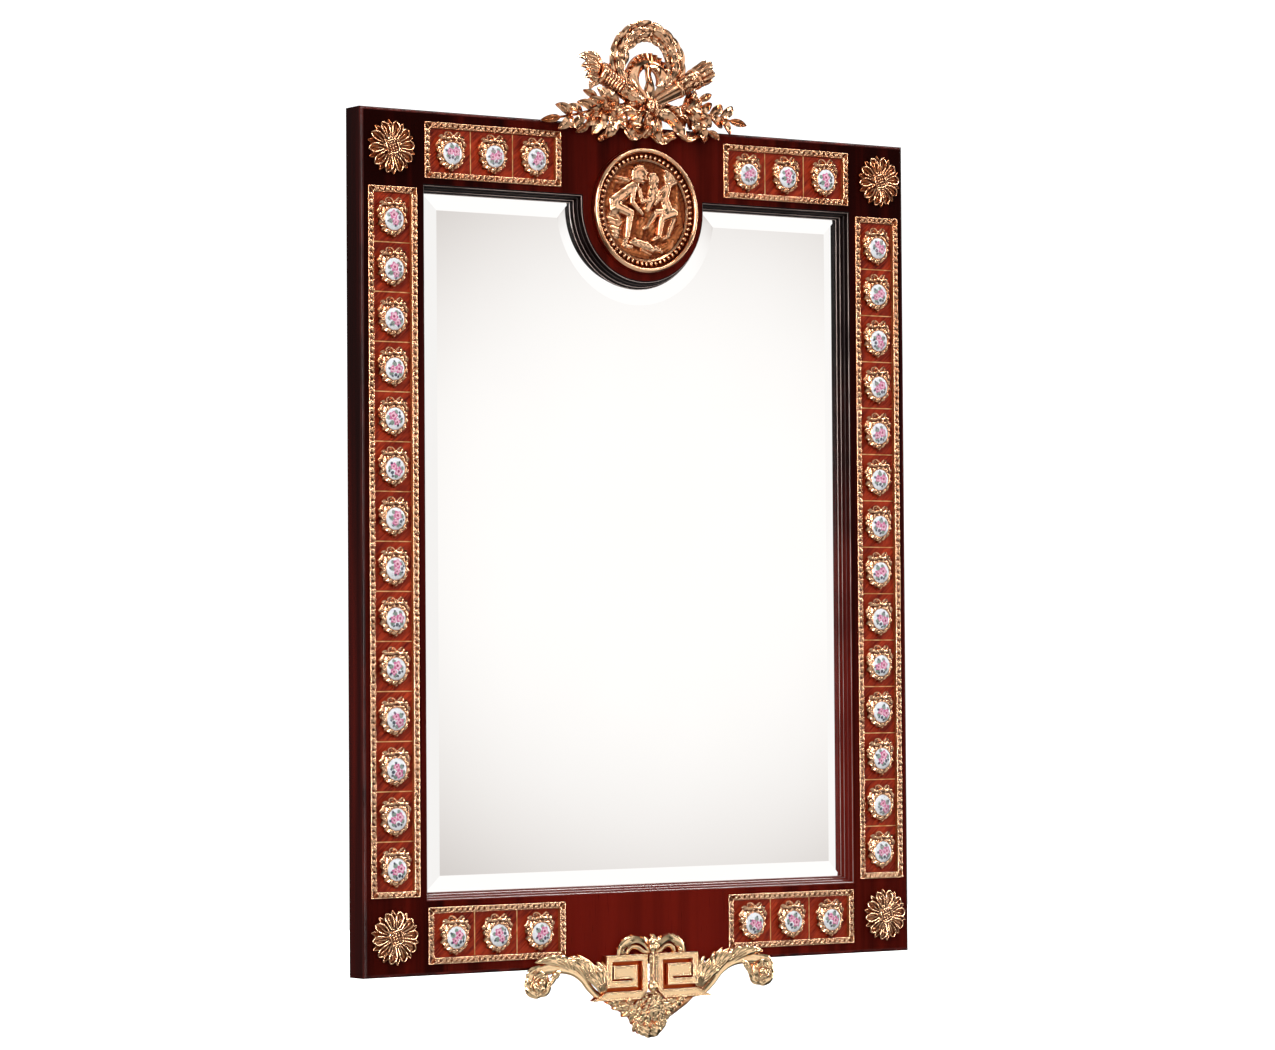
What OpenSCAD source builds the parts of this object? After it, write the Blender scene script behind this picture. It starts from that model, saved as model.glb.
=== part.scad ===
// Wall mirror with a mahogany frame, inlaid panels, porcelain plaques and gilt bronze mounts.
// Origin: midway between the two hanger holes, on the plane of the frame's back. +Y points into
// the wall, +Z is up. Inside hung() the frame is drawn from its bottom edge, with its face at y = 0.

/* [Frame] */
// Width of the wood frame
frame_w = 1100; // [900:10:1500]
// Height of the wood frame
frame_h = 1400; // [1000:10:1800]
// Depth of the wood frame, front to back
frame_d = 46; // [38:1:60]
// Stile face outside its panel
stile_out = 13; // [8:1:25]
// Stile face inside its panel
stile_in = 12; // [8:1:25]
// Rail face outside its panels
rail_out = 18; // [12:1:30]
// Rail face inside its panels
rail_in = 10; // [6:1:25]
// Section of the bead round the front edge
bead = 5; // [3:0.5:8]
// Radius of the round boss under the top rail
boss_r = 121; // [110:1:160]
// Straight drop from the rail's edge to the boss's centre
boss_drop = 18; // [16:1:60]
// Diameter of the corner dowels
dowel_d = 10; // [6:0.5:12]
// Length of the corner dowels
dowel_l = 50; // [30:1:80]

/* [Glass] */
// Width of the moulding round the glass
mould_w = 13; // [9:1:16]
// Depth of the moulding, from the frame's face to the glass
mould_d = 24; // [20:1:30]
// Thickness of the mirror glass
glass_t = 5; // [3:0.5:6]
// Width of the ground bevel
bevel_w = 38; // [25:1:50]
// Glass lost at the outer edge of the bevel
bevel_t = 2.5; // [1:0.1:2.8]
// Gap between the glass and the wood round it
glass_gap = 1; // [0.5:0.1:2]
// Thickness of the backboard
board_t = 5; // [4:0.5:6]
// Width of the ledge that the backboard is screwed to
ledge_w = 10; // [9:0.5:12]
// Depth of the backboard below the frame's back
board_in = 1; // [0:0.5:2]

/* [Panels] */
// Width of every inlaid panel, over its border
panel_w = 92; // [80:1:110]
// Distance from the frame's end to a stile panel
stile_panel_end = 127; // [115:1:160]
// Distance from the stile joint to a rail panel
rail_panel_gap = 3; // [2:1:20]
// Distance from the boss to a rail panel
boss_gap = 44; // [20:1:80]
// Depth of the panel recess
recess_d = 8; // [6:0.5:9]
// Thickness of a veneered tile
tile_t = 2.5; // [1.5:0.1:3]
// Nearest distance from tile to tile along a panel
tile_pitch = 81; // [72:1:100]
// Width of the brass line between two tiles
line_w = 1.6; // [0.8:0.1:3]
// Width of the bronze border
border_w = 10.5; // [6:0.5:12]

/* [Plaques] */
// Diameter of a porcelain plaque
plaque_d = 35; // [28:0.5:38]
// Height of a plaque's face above its tile
plaque_rise = 12; // [8:0.5:16]
// Diameter of the leafy ring round a plaque
ring_d = 48; // [44:0.5:54]

/* [Gilt mounts] */
// Diameter of a corner rosette
rosette_d = 87; // [70:1:100]
// Distance of a rosette's centre from the frame's side
rosette_side = 55; // [52:1:62]
// Distance of a rosette's centre from the frame's end
rosette_end = 64; // [55:1:66]
// Diameter of the medallion
medal_d = 210; // [180:1:216]
// Height of the medallion's rim off the frame
medal_rise = 14; // [10:0.5:20]
// Outer diameter of the crest's wreath
wreath_d = 140; // [120:1:160]
// Width of one key-pattern block of the apron
key_w = 82; // [76:1:110]
// Height of the key-pattern blocks
key_h = 74; // [68:1:90]
// Thickness of the apron's castings
apron_t = 13; // [10:0.5:18]

/* [Hanging] */
// Distance from the frame's top to the hanger holes
hang_drop = 250; // [180:10:400]
// Radius of a hanger hole
hang_hole_r = 5; // [3:0.5:6]
// Thickness of a hanger plate
plate_t = 3; // [2:0.5:4]

/* [Hidden] */
$fn = 48;

// Members of the frame
half_w = frame_w / 2;
stile_w = panel_w + stile_out + stile_in;
rail_h = panel_w + rail_out + rail_in;
sight_x = half_w - stile_w;
sight_top = frame_h - rail_h;
boss_z = sight_top - boss_drop;
cut = 1;                      // how far a cutting shape runs past the wood
dowel_pitch = 50;
dowel_y = 22;

// Stack behind the moulding, from front to back
board_y = frame_d - board_in - board_t;
edge_cover = mould_w - glass_gap;
glass_y = mould_d - bevel_t * (1 - edge_cover / bevel_w);
glass_back = glass_y + glass_t;
packing_w = 12;
board_gap = 1;

// Back screws
screw_r = 1.5;
screw_l = 14;
screw_head_r = 3;
screw_head_t = 1.5;
screw_in = (ledge_w - board_gap) / 2;
side_screws = 5;
end_screws = 4;

// Panels
rail_panel_l = sight_x - rail_panel_gap - boss_r - boss_gap;
stile_panel_l = frame_h - 2 * stile_panel_end;
tile_y = recess_d - tile_t;
border_high = 0.8;            // how far a border's outer edge stands off the frame
border_low = 4.8;             // how far its inner edge lies below the frame's face

// Each panel: left edge, bottom edge, width, height
panels = [
  [-half_w + stile_out, stile_panel_end, panel_w, stile_panel_l],
  [half_w - stile_out - panel_w, stile_panel_end, panel_w, stile_panel_l],
  [-sight_x + rail_panel_gap, frame_h - rail_out - panel_w, rail_panel_l, panel_w],
  [sight_x - rail_panel_gap - rail_panel_l, frame_h - rail_out - panel_w, rail_panel_l, panel_w],
  [-sight_x + rail_panel_gap, rail_out, rail_panel_l, panel_w],
  [sight_x - rail_panel_gap - rail_panel_l, rail_out, rail_panel_l, panel_w]];
function is_tall(p) = p[3] > p[2];
function run_of(p) = max(p[2], p[3]) - 2 * border_w;
function tile_count(p) = floor((run_of(p) + line_w) / (tile_pitch - 1.2));
function pitch_of(p) = (run_of(p) + line_w) / tile_count(p);
function tile_at(p, i) = border_w + pitch_of(p) * (i + 0.5) - line_w / 2;
function tile_x(p, i) = is_tall(p) ? p[0] + p[2] / 2 : p[0] + tile_at(p, i);
function tile_z(p, i) = is_tall(p) ? p[1] + tile_at(p, i) : p[1] + p[3] / 2;

// Hangers
hang_z = frame_h - hang_drop;
hang_x = half_w - stile_w / 2;
plate_w = 34;
plate_h = 66;
plate_screw = 24;             // from the hole to each of a plate's screws
plug_r = 8;                   // clearance in the wood behind a hanger hole
plug_d = 16;

// Gilt mounts
medal_z = boss_z - 3;
medal_r = medal_d / 2;
relief_r = medal_r - 21;
relief_ground = 4;
wreath_z = frame_h + 100;
wreath_r = wreath_d / 2;
wreath_band = 20;
wreath_t = 10;
knot_z = frame_h + 36;
key_gap = 20;
key_top = 18;
key_band = 10.5;              // width of a bar of the key pattern
key_groove = 7;
key_foot_h = 14;
key_splay = 27;
key_ground = 4;
stud_r = 2.5;
stud_gap = 0.2;
nut_r = 5;
nut_t = 4;
nut_seat = 8;
rosette_x = half_w - rosette_side;
crest_stud = [58, frame_h - 14];
apron_stud = [50, 8];
medal_stud = 55;

// Studs behind the mounts: place across, place up, and depth of the wood there
studs = [
  for (s = [-1, 1]) [s * rosette_x, rosette_end, frame_d],
  for (s = [-1, 1]) [s * rosette_x, frame_h - rosette_end, frame_d],
  for (s = [-1, 1]) [s * crest_stud[0], crest_stud[1], frame_d],
  for (s = [-1, 1]) [s * apron_stud[0], apron_stud[1], frame_d],
  for (s = [-1, 1]) [s * medal_stud, medal_z, board_y]];

// Backboard screws: place across and place up
board_screws = [
  for (s = [-1, 1], i = [0 : side_screws - 1])
    [s * (sight_x + screw_in), rail_h + (i + 0.5) * (sight_top - rail_h) / side_screws],
  for (i = [0 : end_screws - 1], z = [rail_h - screw_in, sight_top + screw_in])
    [-sight_x + (i + 0.5) * 2 * sight_x / end_screws, z]];
plate_screws = [for (s = [-1, 1], t = [-1, 1]) [s * hang_x, hang_z + t * plate_screw]];

// Puts what is drawn from the frame's bottom edge and face at the hanging point
module hung() {
  translate([0, -frame_d, -hang_z])
    children();
}

// A flat outline, drawn across and up, given a depth from y = front to y = back
module slab(front, back) {
  translate([0, back, 0])
    rotate([90, 0, 0])
      linear_extrude(height = back - front)
        children();
}

// A round bar along Y
module rod(r, front, back, x = 0, z = 0) {
  translate([x, back, z])
    rotate([90, 0, 0])
      cylinder(r = r, h = back - front);
}

// A profile (distance in from the edge, depth) run along X, with mitred ends
module mitred_bar(length, width, front, back) {
  intersection() {
    mirror([0, 0, 1])
      rotate([0, 90, 0])
        linear_extrude(height = length)
          children();
    slab(front, back)
      polygon([[0, 0], [length, 0], [length - width, width], [width, width]]);
  }
}

// Four mitred bars round a rectangle; side picks one: 0 bottom, 1 top, 2 left, 3 right
module mitred_frame(p, width, front, back, sides = [0 : 3]) {
  for (side = sides)
    if (side == 0)
      translate([p[0], 0, p[1]])
        mitred_bar(p[2], width, front, back) children();
    else if (side == 1)
      translate([p[0], 0, p[1] + p[3]])
        mirror([0, 0, 1])
          mitred_bar(p[2], width, front, back) children();
    else if (side == 2)
      translate([p[0], 0, p[1]])
        mirror([1, 0, 0])
          rotate([0, -90, 0])
            mitred_bar(p[3], width, front, back) children();
    else
      translate([p[0] + p[2], 0, p[1]])
        rotate([0, -90, 0])
          mitred_bar(p[3], width, front, back) children();
}

// A rectangle of wood or board: panel-style list, front and back depth
module plank(p, front, back) {
  translate([p[0], front, p[1]])
    cube([p[2], back - front, p[3]]);
}

// ---- Frame joinery ----

module dowels(r, length) {
  for (s = [-1, 1], z = [rail_h / 2, frame_h - rail_h / 2], t = [-0.5, 0.5])
    translate([s * sight_x - length / 2, dowel_y, z + t * dowel_pitch])
      rotate([0, 90, 0])
        cylinder(r = r, h = length);
}

module bead_rebate() {
  difference() {
    plank([-half_w - cut, -cut, frame_w + 2 * cut, frame_h + 2 * cut], -cut, bead);
    plank([-half_w + bead, bead, frame_w - 2 * bead, frame_h - 2 * bead], -2 * cut, bead + cut);
  }
}

module board_rebate() {
  plank([-sight_x - ledge_w, rail_h - ledge_w, 2 * (sight_x + ledge_w),
    sight_top - rail_h + 2 * ledge_w], board_y, frame_d + cut);
}

module stud_holes() {
  for (s = studs) {
    rod(stud_r + stud_gap, -cut, s[2] + cut, s[0], s[1]);
    rod(nut_r + 2, s[2] - nut_seat, s[2] + cut, s[0], s[1]);
  }
}

module screw_holes() {
  for (s = board_screws)
    rod(screw_r, frame_d - board_in - screw_l, board_y + cut, s[0], s[1]);
  for (s = plate_screws)
    rod(screw_r, frame_d - screw_l, frame_d - plate_t + cut, s[0], s[1]);
}

module hanger_recess() {
  for (s = [-1, 1]) {
    plank([s * hang_x - plate_w / 2, hang_z - plate_h / 2, plate_w, plate_h],
      frame_d - plate_t, frame_d + cut);
    rod(plug_r, frame_d - plug_d, frame_d, s * hang_x, hang_z);
  }
}

// Everything that is cut out of the frame's members
module joinery() {
  bead_rebate();
  board_rebate();
  stud_holes();
  screw_holes();
  hanger_recess();
  dowels(dowel_d / 2, dowel_l);
  for (p = panels)
    plank(p, -cut, recess_d);
}

module stile(s) {
  color([0.22, 0.03, 0.02])
    hung()
      difference() {
        plank([s > 0 ? sight_x : -half_w, 0, stile_w, frame_h], 0, frame_d);
        joinery();
      }
}

module boss_outline(grow) {
  translate([0, boss_z])
    circle(r = boss_r + grow, $fn = 96);
  translate([-boss_r - grow, boss_z])
    square([2 * (boss_r + grow), boss_drop + cut]);
}

module top_rail() {
  color([0.3, 0.04, 0.03])
    hung()
      difference() {
        union() {
          plank([-sight_x, sight_top, 2 * sight_x, rail_h], 0, frame_d);
          slab(0, board_y)
            boss_outline(0);
        }
        joinery();
      }
}

module bottom_rail() {
  color([0.36, 0.04, 0.03])
    hung()
      difference() {
        plank([-sight_x, 0, 2 * sight_x, rail_h], 0, frame_d);
        joinery();
      }
}

module edge_bead() {
  color([0.3, 0.07, 0.06])
    hung()
      mitred_frame([-half_w, 0, frame_w, frame_h], bead, -cut, bead + cut)
        intersection() {
          square(bead);
          translate([bead, bead])
            circle(r = bead);
        }
}

module corner_dowels() {
  color([0.75, 0.6, 0.4])
    hung()
      dowels(dowel_d / 2, dowel_l);
}

// ---- Sight moulding, glass and back ----

mould_steps = 3;
mould_lip = 2.2;
step_r = (mould_w - mould_lip) / mould_steps;
step_d = (mould_d - mould_lip - 1) / mould_steps;
mould_profile = concat(
  [[0, mould_d], [0, 1]],
  [for (k = [0 : mould_steps - 1], a = [0 : 15 : 90])
    [step_r * (k + sin(a)), 1 + step_d * k + step_r * (1 - cos(a))]],
  [for (a = [0 : 30 : 90])
    [mould_w - mould_lip * (1 - sin(a)), mould_d - mould_lip * cos(a)]]);

module sight_moulding(box, side) {
  color([0.06, 0.02, 0.02])
    hung()
      mitred_frame(box, mould_w, -cut, mould_d + cut, [side])
        polygon(mould_profile);
}
sight_box = [-sight_x, rail_h, 2 * sight_x, sight_top - rail_h];
top_left_box = [-sight_x, rail_h, sight_x - boss_r, sight_top - rail_h];
top_right_box = [boss_r, rail_h, sight_x - boss_r, sight_top - rail_h];

module sight_moulding_arch() {
  color([0.06, 0.02, 0.02])
    hung()
      union() {
        translate([0, 0, boss_z])
          rotate([90, 0, 0])
            rotate([0, 0, 180])
              rotate_extrude(angle = 180, $fn = 96)
                polygon([for (q = mould_profile) [boss_r + q[0], -q[1]]]);
        for (s = [-1, 1])
          scale_side(s)
            intersection() {
              translate([boss_r, 0, boss_z])
                linear_extrude(height = boss_drop)
                  polygon(mould_profile);
              slab(-cut, mould_d + cut)
                polygon([[boss_r, boss_z], [boss_r, sight_top],
                  [boss_r + mould_w, sight_top - mould_w], [boss_r + mould_w, boss_z]]);
            }
      }
}

// Draws its children as they are for s = 1, and mirrored across the middle for s = -1
module scale_side(s) {
  if (s > 0)
    children();
  else
    mirror([1, 0, 0])
      children();
}

// The wedge that a grinder takes off an edge: distance in from the edge, and depth
bevel_wedge = [[-cut, glass_y + bevel_t * (1 + cut / bevel_w)], [bevel_w, glass_y],
  [bevel_w, glass_y - cut], [-cut, glass_y - cut]];

module glass_blank() {
  difference() {
    translate([-sight_x + glass_gap, rail_h + glass_gap])
      square([2 * (sight_x - glass_gap), sight_top - rail_h - 2 * glass_gap]);
    boss_outline(glass_gap);
  }
}

module mirror_glass() {
  notch_r = boss_r + glass_gap;
  glass_box = [-sight_x + glass_gap, rail_h + glass_gap,
    2 * (sight_x - glass_gap), sight_top - rail_h - 2 * glass_gap];
  color([0.85, 0.87, 0.88])
    hung()
      difference() {
        slab(glass_y, glass_back)
          glass_blank();
        for (side = [0 : 3])
          bevel_bar(glass_box, side);
        for (s = [-1, 1])
          scale_side(s)
            translate([notch_r, 0, boss_z])
              linear_extrude(height = boss_drop + cut)
                polygon(bevel_wedge);
        translate([0, 0, boss_z])
          rotate([90, 0, 0])
            rotate([0, 0, 180])
              rotate_extrude(angle = 180, $fn = 96)
                polygon([for (q = bevel_wedge) [notch_r + q[0], -q[1]]]);
      }
}

// One straight bevel cut, running past both ends of its side
module bevel_bar(p, side) {
  long = max(p[2], p[3]) + 2 * cut;
  at = [[p[0] - cut, p[1]], [p[0] - cut, p[1] + p[3]], [p[0], p[1] - cut], [p[0] + p[2], p[1] - cut]];
  translate([at[side][0], 0, at[side][1]])
    turned(side)
      mirror([0, 0, 1])
        rotate([0, 90, 0])
          linear_extrude(height = long)
            polygon(bevel_wedge);
}

// Turns a bar drawn for the bottom side to side 0 bottom, 1 top, 2 left or 3 right
module turned(side) {
  if (side == 0)
    children();
  else if (side == 1)
    mirror([0, 0, 1])
      children();
  else if (side == 2)
    mirror([1, 0, 0])
      rotate([0, -90, 0])
        children();
  else
    rotate([0, -90, 0])
      children();
}

module glass_packing() {
  x0 = sight_x - glass_gap;
  z0 = rail_h + glass_gap;
  z1 = sight_top - glass_gap;
  x1 = boss_r + glass_gap;
  color([0.15, 0.13, 0.12])
    hung()
      for (s = [-1, 1]) {
        plank([s > 0 ? x0 - packing_w : -x0, z0, packing_w, z1 - z0], glass_back, board_y);
        plank([s > 0 ? x1 : -x0 + packing_w, z1 - packing_w, x0 - packing_w - x1, packing_w],
          glass_back, board_y);
        if (s > 0)
          plank([-x0 + packing_w, z0, 2 * (x0 - packing_w), packing_w], glass_back, board_y);
      }
}

module screw(x, z, back) {
  rod(screw_r, back - screw_l, back, x, z);
  translate([x, back, z])
    rotate([90, 0, 0])
      cylinder(r1 = screw_head_r, r2 = screw_r, h = screw_head_t);
}

module backboard() {
  edge = ledge_w - board_gap;
  color([0.62, 0.47, 0.3])
    hung()
      difference() {
        plank([-sight_x - edge, rail_h - edge, 2 * (sight_x + edge), sight_top - rail_h + 2 * edge],
          board_y, board_y + board_t);
        for (s = board_screws)
          screw(s[0], s[1], frame_d - board_in);
      }
}

module back_screws() {
  color([0.72, 0.6, 0.3])
    hung() {
      for (s = board_screws)
        screw(s[0], s[1], frame_d - board_in);
      for (s = plate_screws)
        screw(s[0], s[1], frame_d);
    }
}

module hanger_plates() {
  color([0.6, 0.6, 0.62])
    hung()
      for (s = [-1, 1])
        difference() {
          plank([s * hang_x - plate_w / 2, hang_z - plate_h / 2, plate_w, plate_h],
            frame_d - plate_t, frame_d);
          rod(hang_hole_r, frame_d - plate_t - cut, frame_d + cut, s * hang_x, hang_z);
          for (q = plate_screws)
            screw(q[0], q[1], frame_d);
        }
}

// ---- Inlaid panels ----

module tiles(p) {
  size = pitch_of(p) - line_w;
  across = panel_w - 2 * border_w;
  w = is_tall(p) ? across : size;
  h = is_tall(p) ? size : across;
  color([0.62, 0.13, 0.06])
    hung()
      for (i = [0 : tile_count(p) - 1])
        plank([tile_x(p, i) - w / 2, tile_z(p, i) - h / 2, w, h], tile_y, recess_d);
}

module brass_stringing() {
  across = panel_w - 2 * border_w;
  color([0.85, 0.6, 0.25])
    hung()
      for (p = panels, i = [1 : tile_count(p) - 1]) {
        at = border_w + pitch_of(p) * i - line_w;
        if (is_tall(p))
          plank([p[0] + border_w, p[1] + at, across, line_w], tile_y - 0.2, recess_d);
        else
          plank([p[0] + at, p[1] + border_w, line_w, across], tile_y - 0.2, recess_d);
      }
}

module border(p) {
  color([0.86, 0.58, 0.38])
    hung()
      mitred_frame(p, border_w, -border_high - cut, recess_d + cut)
        polygon([[0, recess_d], [0, -border_high + 0.5], [0.6, -border_high], [1.6, -border_high],
          [border_w - 1.6, border_low - 0.6], [border_w, border_low], [border_w, recess_d]]);
}

// Leafy ring with a ribbon bow on top
module plaque_mount() {
  loop_r = 7.5;
  loop_x = 10.5;
  loop_z = ring_d / 2 + 5;
  inner = plaque_d / 2;
  front = tile_y - plaque_rise;
  translate([0, tile_y, 0])
    rotate([90, 0, 0])
      rotate_extrude()
        polygon([[inner, 0], [ring_d / 2, 0], [ring_d / 2 - 1, 6], [inner + 2, plaque_rise + 1],
          [inner, plaque_rise]]);
  difference() {
    for (s = [-1, 1])
      rod(loop_r, front + 3, tile_y, s * loop_x, loop_z);
    for (s = [-1, 1])
      rod(loop_r - 3.5, front, tile_y + cut, s * loop_x, loop_z);
    rod(inner, front, tile_y + cut);
  }
  slab(front + 2, tile_y)
    polygon([[-3.5, inner + 4], [3.5, inner + 4], [4.5, loop_z + 5], [-4.5, loop_z + 5]]);
  for (s = [-1, 1])
    scale_side(s)
      slab(front + 5, tile_y)
        polygon([[14, 18], [21, 20], [29, 17], [27, 12], [21, 13]]);
}

module plaque_mounts(p) {
  color([0.88, 0.6, 0.36])
    hung()
      for (i = [0 : tile_count(p) - 1])
        translate([tile_x(p, i), 0, tile_z(p, i) - mount_low])
          plaque_mount();
}
mount_low = 4;                // how far a ring sits below its tile's middle, to leave room for the bow

module plaques(p) {
  color([0.93, 0.94, 0.96])
    hung()
      for (i = [0 : tile_count(p) - 1])
        rod(plaque_d / 2, tile_y - plaque_rise, tile_y, tile_x(p, i), tile_z(p, i) - mount_low);
}

// ---- Rosettes and medallion ----

function leaf(length, width, n = 8) = concat(
  [for (i = [0 : n]) [length * i / n, width / 2 * sin(180 * i / n)]],
  [for (i = [n - 1 : -1 : 1]) [length * i / n, -width / 2 * sin(180 * i / n)]]);
function petal(r0, r1, width, n = 8) = concat(
  [[r0, -width * 0.2], [r1 - width / 2, -width / 2]],
  [for (i = [1 : n - 1]) [r1 - width / 2 + width / 2 * sin(180 * i / n), -width / 2 * cos(180 * i / n)]],
  [[r1 - width / 2, width / 2], [r0, width * 0.2]]);

module rosette(s, z) {
  r = rosette_d / 2;
  eye = 10;
  color([0.88, 0.62, 0.45])
    hung()
      translate([s * rosette_x, 0, z]) {
        rod(r * 0.7, -2, 0);
        slab(-3, 0)
          for (a = [0 : 45 : 315])
            rotate(a + 22.5)
              polygon(petal(8, r, 12));
        slab(-5, 0)
          for (a = [0 : 45 : 315])
            rotate(a)
              polygon(petal(8, r * 0.94, 17));
        slab(-7, 0)
          rotate(8)
            square(2 * eye, center = true);
        for (i = [-1 : 1], k = [-1 : 1])
          rod(1.7, -8.5, 0, i * 4.6, k * 4.6);
      }
}

module medallion_rim() {
  color([0.85, 0.6, 0.42])
    hung()
      translate([0, 0, medal_z])
        rotate([90, 0, 0])
          rotate_extrude($fn = 96)
            polygon([[medal_r - 8.5, 0], [medal_r, 0], [medal_r, medal_rise - 3],
              [medal_r - 1, medal_rise - 0.8], [medal_r - 3, medal_rise],
              [medal_r - 6, medal_rise], [medal_r - 8.5, medal_rise - 2.5]]);
}

module medallion_beads() {
  ring_r = medal_r - 14.5;
  bead_count = 66;
  color([0.9, 0.66, 0.46])
    hung()
      translate([0, 0, medal_z]) {
        rotate([90, 0, 0])
          rotate_extrude($fn = 96)
            polygon([[relief_r, 0], [medal_r - 8.5, 0], [medal_r - 8.5, 7], [relief_r + 3, 6],
              [relief_r + 2, 7.5], [relief_r, 7.5]]);
        for (i = [0 : bead_count - 1])
          rotate([0, i * 360 / bead_count, 0])
            rod(3.6, -10, -5, ring_r, 0);
      }
}

// A dome of one figure's mass, standing on the medallion's ground
module dome(x, z, r, h) {
  ball = (r * r + h * h) / (2 * h);
  intersection() {
    translate([x, ball - h - relief_ground, z])
      sphere(r = ball);
    rod(r + cut, -h - relief_ground - cut, -relief_ground + 0.5, x, z);
  }
}

// Three putti round a drum, as plain masses
module medallion_relief() {
  masses = [[-16, 44, 19, 9], [-28, 16, 20, 8], [-44, -2, 14, 6], [-34, -26, 13, 6],
    [-30, -50, 11, 5], [-52, -22, 13, 7], [13, 34, 14, 8], [8, 8, 17, 7], [34, 26, 13, 8],
    [30, 0, 17, 8], [44, -18, 14, 6], [22, -34, 14, 6], [0, -52, 19, 6], [26, -58, 13, 5]];
  color([0.72, 0.45, 0.28])
    hung()
      translate([0, 0, medal_z]) {
        rod(relief_r, -relief_ground, 0);
        for (m = masses)
          dome(m[0], m[1], m[2], m[3]);
      }
}

module ornament_studs() {
  color([0.7, 0.55, 0.3])
    hung()
      for (s = studs) {
        rod(stud_r, 0, s[2] - 2, s[0], s[1]);
        translate([s[0], s[2] - nut_seat + nut_t, s[1]])
          rotate([90, 0, 0])
            cylinder(r = nut_r, h = nut_t, $fn = 6);
      }
}

// ---- Crest ----

// The room that the wreath takes, cut out of what lies over it
module wreath_room() {
  translate([0, 0, wreath_z])
    rotate([90, 0, 0])
      rotate_extrude($fn = 96)
        translate([wreath_r - wreath_band, -cut])
          square([wreath_band, wreath_t + cut]);
}

module crest_wreath() {
  mid = wreath_r - wreath_band / 2;
  opening = 44;               // of the ring, left open at the knot
  color([0.86, 0.58, 0.4])
    hung()
      translate([0, 0, wreath_z]) {
        rotate([90, 0, 0])
          rotate([0, 0, -90 + opening / 2])
            rotate_extrude(angle = 360 - opening, $fn = 96)
              polygon([for (a = [0 : 20 : 340])
                [mid + wreath_band / 2 * cos(a), wreath_t / 2 * (1 + sin(a))]]);
        // ribbed fan and ribbon loop that hang inside the ring
        slab(-7, 0)
          difference() {
            translate([0, -22])
              circle(r = 45);
            translate([0, -22])
              circle(r = 24);
            translate([-50, -84])
              square([100, 48]);
          }
      }
}

module crest_branches() {
  leaf_l = 30;
  color([0.82, 0.55, 0.36])
    hung()
      for (s = [-1, 1])
        scale_side(s)
          slab(-7, 0) {
            polygon([[14, frame_h + 12], [14, frame_h + 24], [110, frame_h + 26],
              [185, frame_h + 14], [110, frame_h + 20]]);
            for (i = [0 : 6], t = [-1, 1])
              translate([30 + 21 * i, frame_h + 20 + 4 * sin(180 * i / 6) - 1.2 * i])
                rotate(-4 + t * (34 - 3 * i))
                  polygon(leaf(leaf_l, 12));
            translate([62, frame_h + 26])
              rotate(26)
                polygon([[0, -4], [76, -3], [84, 3], [40, 8], [0, 4]]);
          }
}

// A turned shape along an axis that rises outwards from the knot
module slanted(s, rise, depth) {
  scale_side(s)
    translate([12, -depth, knot_z])
      rotate([0, 90 - rise, 0])
        rotate_extrude()
          children();
}

module crest_torch() {
  color([0.84, 0.56, 0.38])
    hung()
      difference() {
        slanted(-1, 28, 11)
          polygon([[0, 0], [8, 0], [9, 50], [12, 52], [9, 56], [10, 88], [14, 92], [14, 97],
            [10, 100], [12, 118], [9, 136], [3, 150], [0, 150]]);
        wreath_room();
      }
}

module crest_quiver() {
  color([0.88, 0.62, 0.42])
    hung()
      difference() {
        slanted(1, 28, 13)
          polygon([[0, 0], [7, 0], [12, 58], [14, 59], [14, 65], [13, 66], [14, 96], [16, 97],
            [16, 104], [15, 105], [16, 136], [12, 146], [0, 146]]);
        wreath_room();
      }
}

module crest_ribbon() {
  folds = [[-86, -29, 24], [-62, -24, 30], [-36, -18, 26], [36, -18, 26], [62, -22, 30], [88, -24, 24]];
  color([0.86, 0.6, 0.4])
    hung()
      difference() {
        union() {
          rod(13, -24, 0, 0, knot_z - 8);
          slab(-12, 0)
            polygon([[-16, frame_h - 28], [16, frame_h - 28], [12, knot_z - 12], [-12, knot_z - 12]]);
          for (f = folds)
            slab(-11, 0)
              translate([f[0] - f[2] / 2, frame_h - 2])
                polygon([[0, 0], [f[2], 0], [f[2] * 0.8, f[1]], [f[2] * 0.2, f[1]]]);
          slab(-9, 0)
            translate([-96, frame_h - 16])
              square([192, 14]);
        }
        wreath_room();
      }
}

// ---- Apron ----

// One block of key pattern with a splayed foot: square bars on a thin ground; s mirrors it
module apron_key(s) {
  x0 = key_gap / 2;
  x1 = x0 + key_w;
  z1 = key_top;
  z0 = key_top - key_h;
  inner_z = z0 + key_foot_h + key_groove;
  inner_top = z1 - key_band - key_groove;
  color([0.9, 0.62, 0.3])
    hung()
      scale_side(s) {
        slab(-key_ground, 0)
          polygon([[x0, z1], [x1, z1], [x1, inner_z], [x1 + key_splay, z0], [x0 + key_foot_h, z0],
            [x0, z0 + key_foot_h]]);
        slab(-apron_t, -key_ground) {
          polygon([[x1, inner_z - key_groove], [x1 + key_splay, z0], [x0 + key_foot_h, z0],
            [x0, z0 + key_foot_h], [x0, z1], [x1, z1], [x1, inner_z],
            [x0 + 2 * key_band, inner_z], [x0 + 2 * key_band, inner_top],
            [x1 - key_band - key_groove / 2, inner_top],
            [x1 - key_band - key_groove / 2, inner_z + key_band + key_groove / 2],
            [x0 + 3 * key_band, inner_z + key_band + key_groove / 2],
            [x0 + 3 * key_band, inner_z + key_band],
            [x1 - key_band, inner_z + key_band], [x1 - key_band, z1 - key_band],
            [x0 + key_band, z1 - key_band], [x0 + key_band, inner_z - key_groove]]);
        }
      }
}

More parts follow.
